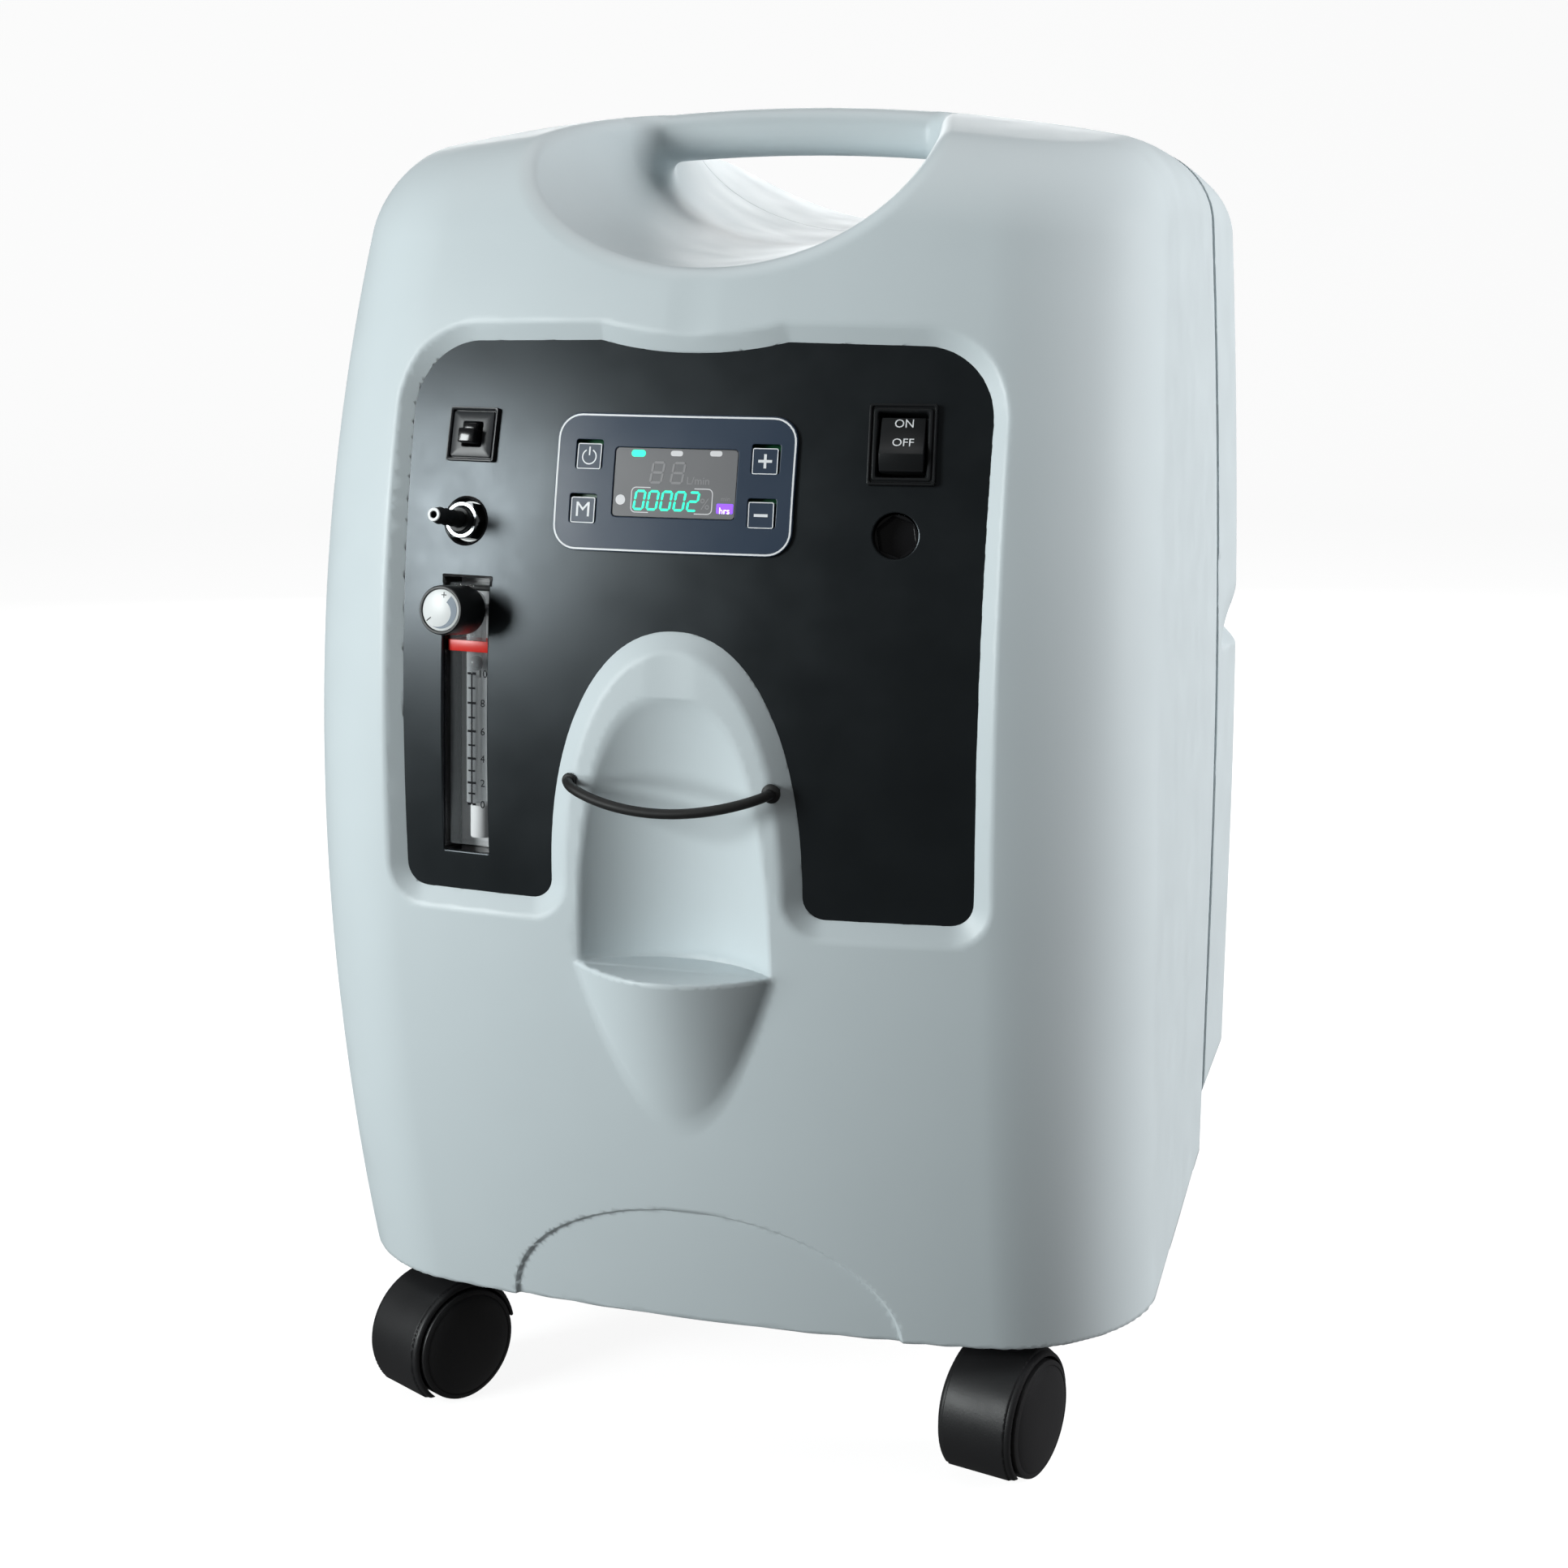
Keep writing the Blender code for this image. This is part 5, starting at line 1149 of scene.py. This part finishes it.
def build_rocker():
    """The power switch: its bezel and its curved rocker with raised words."""
    face = seat(*ROCKER_AT)
    steps = [(0.0105, 0.0130, 0.0200), (0.0105, 0.0130, 0.0001), (0.0130, 0.0155, 0.0001),
             (0.0130, 0.0155, -0.0016), (0.0128, 0.0153, -0.0021), (0.0125, 0.0150, -0.0022),
             (0.0121, 0.0146, -0.0021), (0.0118, 0.0143, -0.0013), (0.0114, 0.0139, -0.0013),
             (0.0111, 0.0136, -0.0019), (0.0108, 0.0133, -0.0020), (0.0099, 0.0127, -0.0018),
             (0.0095, 0.0123, -0.0012), (0.0093, 0.0122, -0.0006), (0.0093, 0.0122, 0.0100)]
    add(frame_stack("switch_bezel", face, steps, 0.0010, smooth=28), BLACK, "casing", "black_plastic",
        "rocker_bezel")
    tilt = face @ Matrix.Rotation(math.radians(-7.0), 4, "X")
    knots = [(0.0105, -0.0008), (0.0102, -0.0014), (0.0060, -0.0018), (0.0030, -0.0023), (0.0000, -0.0030),
             (-0.0025, -0.0037), (-0.0042, -0.0043), (-0.0047, -0.0044), (-0.0052, -0.0042),
             (-0.0075, -0.0032), (-0.0098, -0.0014), (-0.0104, -0.0008), (-0.0105, 0.0040), (0.0, 0.0070),
             (0.0105, 0.0040)]
    rings = []
    ends = ((-0.0085, 0.0005), (-0.0083, 0.0001), (-0.0080, 0.0), (0.0080, 0.0), (0.0083, 0.0001),
            (0.0085, 0.0005))
    for x, inset in ends:
        rings.append([tilt @ Vector((x, y + (inset if y < 0 else 0), z * (1 - inset / 0.0105)))
                      for z, y in knots])
    body = paint(ring_stack("switch_rocker", rings, True, 24), BLACK)
    face_z, face_y = zip(*knots[9:0:-1])
    words = []
    for text, z in (("ON", 0.0078), ("OFF", 0.0000)):
        rise = np.interp(z + 0.001, face_z, face_y) - np.interp(z - 0.001, face_z, face_y)
        slope = math.atan2(rise, 0.002)
        depth = float(np.interp(z, face_z, face_y))
        here = tilt @ Matrix.Translation((0.0004, depth - 0.00014, z)) @ Matrix.Rotation(-slope, 4, "X")
        words.append(paint(lettering(text, text, 0.0048, here, (0, 0), 0.0), INK))
    whole = joined("switch_rocker", [body] + words)
    add(whole, None, "rocker", "black_plastic", "rocker_button")


def build_breaker():
    """The circuit breaker: its stepped plate and its two-step button."""
    face = seat(*BREAKER_AT)
    steps = [(0.0077, 0.0077, 0.0220), (0.0077, 0.0077, 0.0001), (0.01075, 0.01075, 0.0001),
             (0.01075, 0.01075, -0.0016), (0.01060, 0.01060, -0.0020), (0.01020, 0.01020, -0.0020),
             (0.00965, 0.00965, -0.0016), (0.00945, 0.00945, -0.0002), (0.00915, 0.00915, -0.0002),
             (0.00900, 0.00900, -0.0013), (0.00880, 0.00880, -0.0014), (0.00460, 0.00520, -0.0014),
             (0.00430, 0.00490, -0.0011), (0.00430, 0.00490, 0.0115)]
    add(frame_stack("breaker_plate", face, steps, 0.0008, smooth=28), SMOKE, "casing", "black_plastic",
        "breaker_body")
    low = block("breaker_push", (-0.0036, -0.0065, -0.0041), (0.0036, 0.0060, 0.0016), face, 0.0006, 3)
    high = block("upper", (-0.0029, -0.0040, 0.0002), (0.0029, 0.0058, 0.0041), face, 0.0005, 3)
    add(joined("breaker_push", [low, high]), GLOSS_BLACK, "breaker", "black_plastic", "breaker_button")


def hexagon_reach(angle, corner):
    """How far a hexagon reaches at an angle from its middle."""
    return corner * math.cos(math.pi / 6) / math.cos((angle % (math.pi / 3)) - math.pi / 6)


TURNS = [2 * math.pi * k / 96 for k in range(96)]


def build_outlet():
    """The oxygen outlet: a dish, a chrome hexagon nut and a ribbed spout."""
    face = seat(*OUTLET_AT)
    bowl = [(0.0, 0.0060), (0.0091, 0.0060), (0.0091, 0.0012), (0.0098, 0.0004), (0.0099, -0.0002),
            (0.0096, -0.0004), (0.0091, -0.0001), (0.0088, 0.0008), (0.0085, 0.0026), (0.0080, 0.0032),
            (0.0, 0.0032)]
    add(lathe("outlet_dish", bowl, face), GLOSS_BLACK, "casing", "black_plastic")
    rings = []
    steps = ((1.0, 0.0030, 0), (1.0, -0.0040, 1), (0.0069, -0.0040, 0), (0.0058, -0.0040, 0),
             (0.0053, -0.0036, 0), (0.0053, 0.0030, 0))
    for limit, depth, follow in steps:
        ring = []
        for a in TURNS:
            r = hexagon_reach(a, HEX_R)
            reach = min(r, limit) if limit > 0.0061 else limit
            d = depth + (max(0.0, r - 0.0069) * 0.9 if follow else 0.0)
            ring.append(face @ Vector((reach * math.cos(a), d, reach * math.sin(a))))
        rings.append(ring)
    nut = ring_stack("outlet_hex", rings + rings[:1], False, 20)
    add(nut, CHROME, "casing", "chrome", "outlet_nut")
    profile = [(0.0014, 0.0160), (0.0050, 0.0160), (0.0050, -0.0052), (0.0046, -0.0060), (0.0034, -0.0061)]
    for k in range(4):
        start = -0.0062 - 0.0046 * k
        profile += [(0.0029, start), (0.0034, start - 0.0004), (0.0026, start - 0.0043)]
    profile += [(0.0026, -0.0243), (0.0014, -0.0243)]
    spout = paint(lathe("outlet_spout", profile, face, 40, 30, False), BLACK)
    tip = [(0.0015, -0.0241), (0.0026, -0.0241), (0.0027, -0.0247), (0.0025, -0.0250), (0.0016, -0.0250),
           (0.0014, -0.0247)]
    ring = paint(lathe("tip", tip, face, 40, 30, False), WHITE)
    add(joined("outlet_spout", [spout, ring]), None, "casing", "black_plastic", "outlet_barb")


def build_blank_plug():
    """The black plug under the power switch, with a hexagon pocket."""
    face = seat(*BLANK_AT)
    rings = []
    steps = (("o", 0.0100), ("o", 0.0034), ("i", 0.0030), ("h", 0.0030), ("g", 0.0034), ("g", 0.0075))
    for kind, depth in steps:
        ring = []
        for a in TURNS:
            hexed = hexagon_reach(a + 0.35, HEX_R)
            r = {"o": 0.00845, "i": 0.0082, "h": min(hexed + 0.0002, 0.0081), "g": hexed}[kind]
            ring.append(face @ Vector((r * math.cos(a), depth, r * math.sin(a))))
        rings.append(ring)
    add(ring_stack("blank_cap", rings, True, 25), GLOSS_BLACK, "casing", "black_plastic", "blank_plug")


def build_flowmeter():
    """The flowmeter's clear block with its bore, valve body and seal."""
    face = seat(*FLOW_AT)
    block_piece = block("flow_block", (-0.0092, 0.0045, -0.0530), (0.0092, 0.0149, 0.0530), face, 0.0007, 3)
    add(block_piece, CLEAR, "casing", "acrylic", "flowmeter_block")
    bore = face @ Matrix.Translation((0, BORE_DEPTH, 0)) @ Matrix.Rotation(math.radians(90), 4, "X")
    tube = [(0.0039, -0.0357), (0.0039, 0.0440), (0.0036, 0.0462), (0.0028, 0.0480), (0.0016, 0.0490),
            (0.0, 0.0493)]
    add(lathe("flow_bore", tube, bore, 40, 50), BORE, "casing", "acrylic")
    top = [(0.0, -0.0500), (0.0040, -0.0500), (0.0042, -0.0495), (0.0042, -0.0368), (0.0034, -0.0360),
           (0.0, -0.0360)]
    add(lathe("flow_valve_body", top, bore @ Matrix.Translation((0.0022, 0, 0)), 40, 30), BACKING, "casing",
        "aluminium")
    bar = block("flow_seal", (-0.0030, 0.0052, 0.0502), (0.0090, 0.0140, 0.0518), face, 0.0003)
    add(bar, RUBBER, "casing", "rubber")


def build_flow_scale():
    """The scale printed on the flowmeter's face, and the ball in its bore."""
    face = seat(*FLOW_AT)
    surface = in_seat(face)
    line, top = 0.0010, 0.0170
    major = (0.0, -0.0119, -0.0233, -0.0344, -0.0443, -0.0530)
    minor = (-0.0059, -0.0178, -0.0290, -0.0394, -0.0487)
    marks = [rectangle(line, top - 0.0265, 0.0006, 0.0530)]
    for heights, reach, wide, high in ((major, 0.0011, 0.0016, 0.0009), (minor, 0.0009, 0.0013, 0.0007)):
        marks += [rectangle(line + side * reach, top + z, wide, high) for z in heights for side in (-1, 1)]
    parts = [flat_shapes("flow_scale", marks, surface, 0.00438, 0.00449)]
    for z, text in zip(major, ("10", "8", "6", "4", "2", "0")):
        parts.append(lettering("number", text, 0.0043, face, (0.0060, top + z), 0.00443))
    add(joined("flow_scale", parts), DARK_INK, "casing", "black_plastic")
    bm = bmesh.new()
    ball = face @ Matrix.Translation((0, BORE_DEPTH, 0.0205))
    bmesh.ops.create_icosphere(bm, subdivisions=4, radius=0.0030, matrix=ball)
    add(object_from_bmesh("flow_ball", bm), GLOSS_BLACK, "float_ball", "black_plastic", "flowmeter_ball")


def build_flow_band():
    """The red band round the flowmeter's block."""
    face = seat(*FLOW_AT)
    loop = rounded(0, (0.0045 + 0.0149) / 2, 0.0094, 0.0054, 0.0008, 3)
    outer, widest = offset_loop(loop, 0.0005), offset_loop(loop, 0.0006)
    stack = []
    heights = ((loop, 0.0258), (outer, 0.0258), (widest, 0.0261), (widest, 0.0299), (outer, 0.0302),
               (loop, 0.0302))
    for ring, z in heights:
        stack.append([face @ Vector((x, y, z)) for x, y in ring])
    add(ring_stack("flow_band", stack + stack[:1], False), RED, "casing", "red", "flowmeter_band")


def build_flow_knob():
    """The valve's knob with its white cap, crescent and signs."""
    knob = seat(*KNOB_AT)
    grip = [(0.0, -0.0119), (0.0033, -0.0119), (0.0033, -0.0020), (0.0090, -0.0020), (0.0095, -0.0024),
            (0.0097, -0.0032), (0.0097, -0.0196), (0.0096, -0.0205), (0.0092, -0.0210), (0.0085, -0.0210),
            (0.0082, -0.0204), (0.0, -0.0204)]
    cap = [(0.0, -0.0203), (0.0081, -0.0203), (0.0081, -0.0205), (0.0079, -0.0206), (0.0, -0.0206)]
    parts = [paint(lathe("flow_grip", grip, knob, 96, 30), BLACK),
             paint(lathe("disc", cap, knob, 72, 30), WHITE)]
    surface = in_seat(knob)
    crescent = arc_band(0, 0, lambda t: 0.0040 + 0.0032 * t ** 1.6, lambda t: 0.0072, 52, -118)
    parts.append(paint(flat_shapes("crescent", [crescent], surface, -0.02068, -0.02055), SLATE))
    signs = [rectangle(0.0012, 0.0060, 0.0022, 0.0003), rectangle(0.0012, 0.0060, 0.0003, 0.0022),
             rectangle(-0.0052, -0.0037, 0.0024, 0.00035, math.radians(38))]
    parts.append(paint(flat_shapes("signs", signs, surface, -0.02068, -0.02055), DARK_INK))
    add(joined("flow_grip", parts), None, "valve_knob", "black_plastic", "flow_knob")


# ---------------------------------------------------------------- strap
def strap_path():
    """The strap's route between its two holes, as in the CAD."""
    y = float(front_y(STRAP_X, STRAP_Z))
    middle = float(front_y(0.0, STRAP_Z))
    points = []
    for share in np.linspace(-1, 1, 29):
        bulge = 1 - share * share
        out = y - 0.003 + (middle - 0.012 - y) * bulge ** 0.6
        points.append(Vector((STRAP_X * share, out, STRAP_Z - 0.007 * bulge)))
    ends = [Vector((side * STRAP_X, y + 0.006, STRAP_Z)) for side in (-1, 1)]
    near = [Vector((side * STRAP_X, y + 0.001, STRAP_Z)) for side in (-1, 1)]
    return [ends[0], near[0]] + points + [near[1], ends[1]]


def swept(name, path, radius, sides=20, smooth=50):
    """A round tube along a path, with its ring turned as little as possible."""
    rings, side = [], None
    for k, p in enumerate(path):
        ahead = (path[min(k + 1, len(path) - 1)] - path[max(k - 1, 0)]).normalized()
        side = Vector((0, 0, 1)) if side is None else side
        side = (side - side.dot(ahead) * ahead).normalized()
        other = ahead.cross(side)
        turns = [2 * math.pi * m / sides for m in range(sides)]
        rings.append([p + radius * (math.cos(a) * side + math.sin(a) * other) for a in turns])
    return ring_stack(name, rings, True, smooth)


def smoothed(points, rounds=2):
    """A path with its corners cut, its ends kept."""
    for _ in range(rounds):
        out = [points[0]]
        for a, b in zip(points, points[1:]):
            out += [a.lerp(b, 0.25), a.lerp(b, 0.75)]
        points = out + [points[-1]]
    return points


def build_strap():
    """The bottle strap as a cord, and the studs in its two holes."""
    path = smoothed(strap_path())
    length = sum((b - a).length for a, b in zip(path, path[1:]))
    cord = swept("bottle_strap", path, STRAP_R)
    add(cord, RUBBER, "casing", "rubber", "humidifier_strap")
    tuple(path[0])
    [tuple(p) for p in path]
    for side, size in ((1, 1.0), (-1, 0.8)):
        here = seat(side * STRAP_X, STRAP_Z, 0.0)
        stud = [(0.0, 0.0035), (0.0024, 0.0035), (0.0024, 0.0002), (0.0036 * size, 0.0000),
                (0.0038 * size, -0.0006), (0.0036 * size, -0.0012), (0.0026, -0.0017), (0.0022, -0.0018),
                (0.0, -0.0018)]
        add(lathe("strap_stud_" + ("right" if side > 0 else "left"), stud, here, 32, 40), RUBBER, "casing",
            "rubber")


# ---------------------------------------------------------------- casters
CASTERS = {"front_left": (-0.127, -0.116, 28), "front_right": (0.127, -0.116, 15),
           "rear_left": (-0.127, 0.128, 170), "rear_right": (0.127, 0.128, 195)}
TRAIL, WHEEL_R, HOOD_R, HOOD_HALF, HOOD_TOP_Z = 0.0107, 0.025, 0.029, 0.0165, 0.0565
STEM_R, STEM_FOOT_Z = 0.0034, 0.0400


def hood_field(x, y, z):
    """The mudguard of a twin-wheel caster with its stem boss."""
    away = np.hypot(y + TRAIL, z - WHEEL_R)
    lip = HOOD_R - 0.0008 * smoothstep(0.0138, 0.0144, np.abs(x))
    guard = convex(away - lip, np.abs(x) - HOOD_HALF, 0.0016)
    boss = np.maximum(np.hypot(x, y) - 0.0125, np.maximum(0.030 - z, z - HOOD_TOP_Z))
    solid = concave(guard, convex(boss, z - HOOD_TOP_Z, 0.0010), 0.0030)
    pocket = np.maximum(away - 0.0262, 0.0045 - np.abs(x))
    solid = np.maximum(solid, -pocket)
    cut = np.maximum(0.0043 - y, z - 0.0300)
    solid = convex(solid, 0.0055 - z, 0.0008)
    solid = np.maximum(solid, -cut)
    stem_hole = np.hypot(x, y) - STEM_R + 1.0 * (z < STEM_FOOT_Z)
    return np.maximum(solid, -stem_hole)


def build_casters():
    """Four twin-wheel casters: one hood shape, turned to each heading, and its wheels."""
    hood = field_piece("hood", hood_field, (-0.020, -0.043, 0.003), (0.020, 0.020, 0.060), 0.0008 * COARSE,
                       40000)
    across = Matrix.Rotation(math.radians(-90), 4, "Z")
    for spot_name, (x, y, heading) in CASTERS.items():
        place = Matrix.Translation((x, y, 0)) @ Matrix.Rotation(math.radians(-heading), 4, "Z")
        shell_copy = link("caster_guard_" + spot_name, hood.data.copy())
        shell_copy.data.transform(place)
        add(shell_copy, CASTER, "caster_" + spot_name, "caster_plastic", "caster_hood_" + spot_name)
        axle = place @ Matrix.Translation((0, -TRAIL, WHEEL_R)) @ across
        wheel = [(0.0, 0.0056), (0.0236, 0.0056), (0.0246, 0.0062), (0.0250, 0.0072), (0.0250, 0.0168),
                 (0.0248, 0.0176), (0.0240, 0.0181), (0.0229, 0.0183), (0.0226, 0.0180), (0.0222, 0.0183),
                 (0.0200, 0.0192), (0.0160, 0.0201), (0.0110, 0.0207), (0.0050, 0.0210), (0.0, 0.0210)]
        sides = [lathe("wheel", [(r, d * flip) for r, d in wheel], axle, 72, 30) for flip in (1, -1)]
        sides.append(lathe("axle", [(0.0, -0.0060), (0.0030, -0.0060), (0.0030, 0.0060), (0.0, 0.0060)],
                           axle, 24, 30))
        add(joined("caster_discs_" + spot_name, sides), TREAD, "wheels_" + spot_name, "caster_tread",
            "caster_wheels_" + spot_name)
    bpy.data.objects.remove(hood, do_unlink=True)


# ---------------------------------------------------------------- rear
def build_rear():
    """The heads of the screws that hold the rear casing."""
    head = [(0.0, 0.0080), (0.0018, 0.0080), (0.0018, 0.0021), (0.0042, 0.0021), (0.0042, 0.0014),
            (0.0036, 0.0006), (0.0022, 0.0001), (0.0, 0.0)]
    for k, (x, z) in enumerate(REAR_SCREWS):
        here = Matrix.Translation((x, REAR_Y, z)) @ Matrix.Rotation(math.pi, 4, "Z")
        add(lathe("screw_%d" % k, head, here, 32, 30), STEEL, "casing", "steel")


# ---------------------------------------------------------------- CAD pieces that stay
FINISHES = {"shell": SHELL, "panel": PANEL, "overlay": OVERLAY, "screen": SCREEN, "black_plastic": BLACK,
            "caster_plastic": CASTER, "caster_tread": TREAD, "chrome": CHROME, "steel": STEEL,
            "aluminium": ALUMINIUM, "copper": COPPER, "acrylic": CLEAR, "red": RED, "rubber": RUBBER,
            "hose": HOSE, "foam": FOAM, "white_plastic": WHITE, "circuit_board": BOARD}


def paint_frame():
    """The looks of the CAD's own pieces, by the slot that the record gives them."""
    slots = {part["node"]: part["material_slot"] for part in frame["record"]["subparts"]}
    for name, node in frame["nodes"].items():
        for place in node.material_slots:
            place.material = FINISHES[slots[name]]


BUILDERS = (build_camera, build_backdrop, build_light, build_casing, build_panel, build_display, build_keys,
            build_screen, build_rocker, build_breaker, build_outlet, build_blank_plug, build_flowmeter,
            build_flow_scale, build_flow_band, build_flow_knob, build_strap, build_casters, build_rear,
            paint_frame)
for build in BUILDERS:
    build()
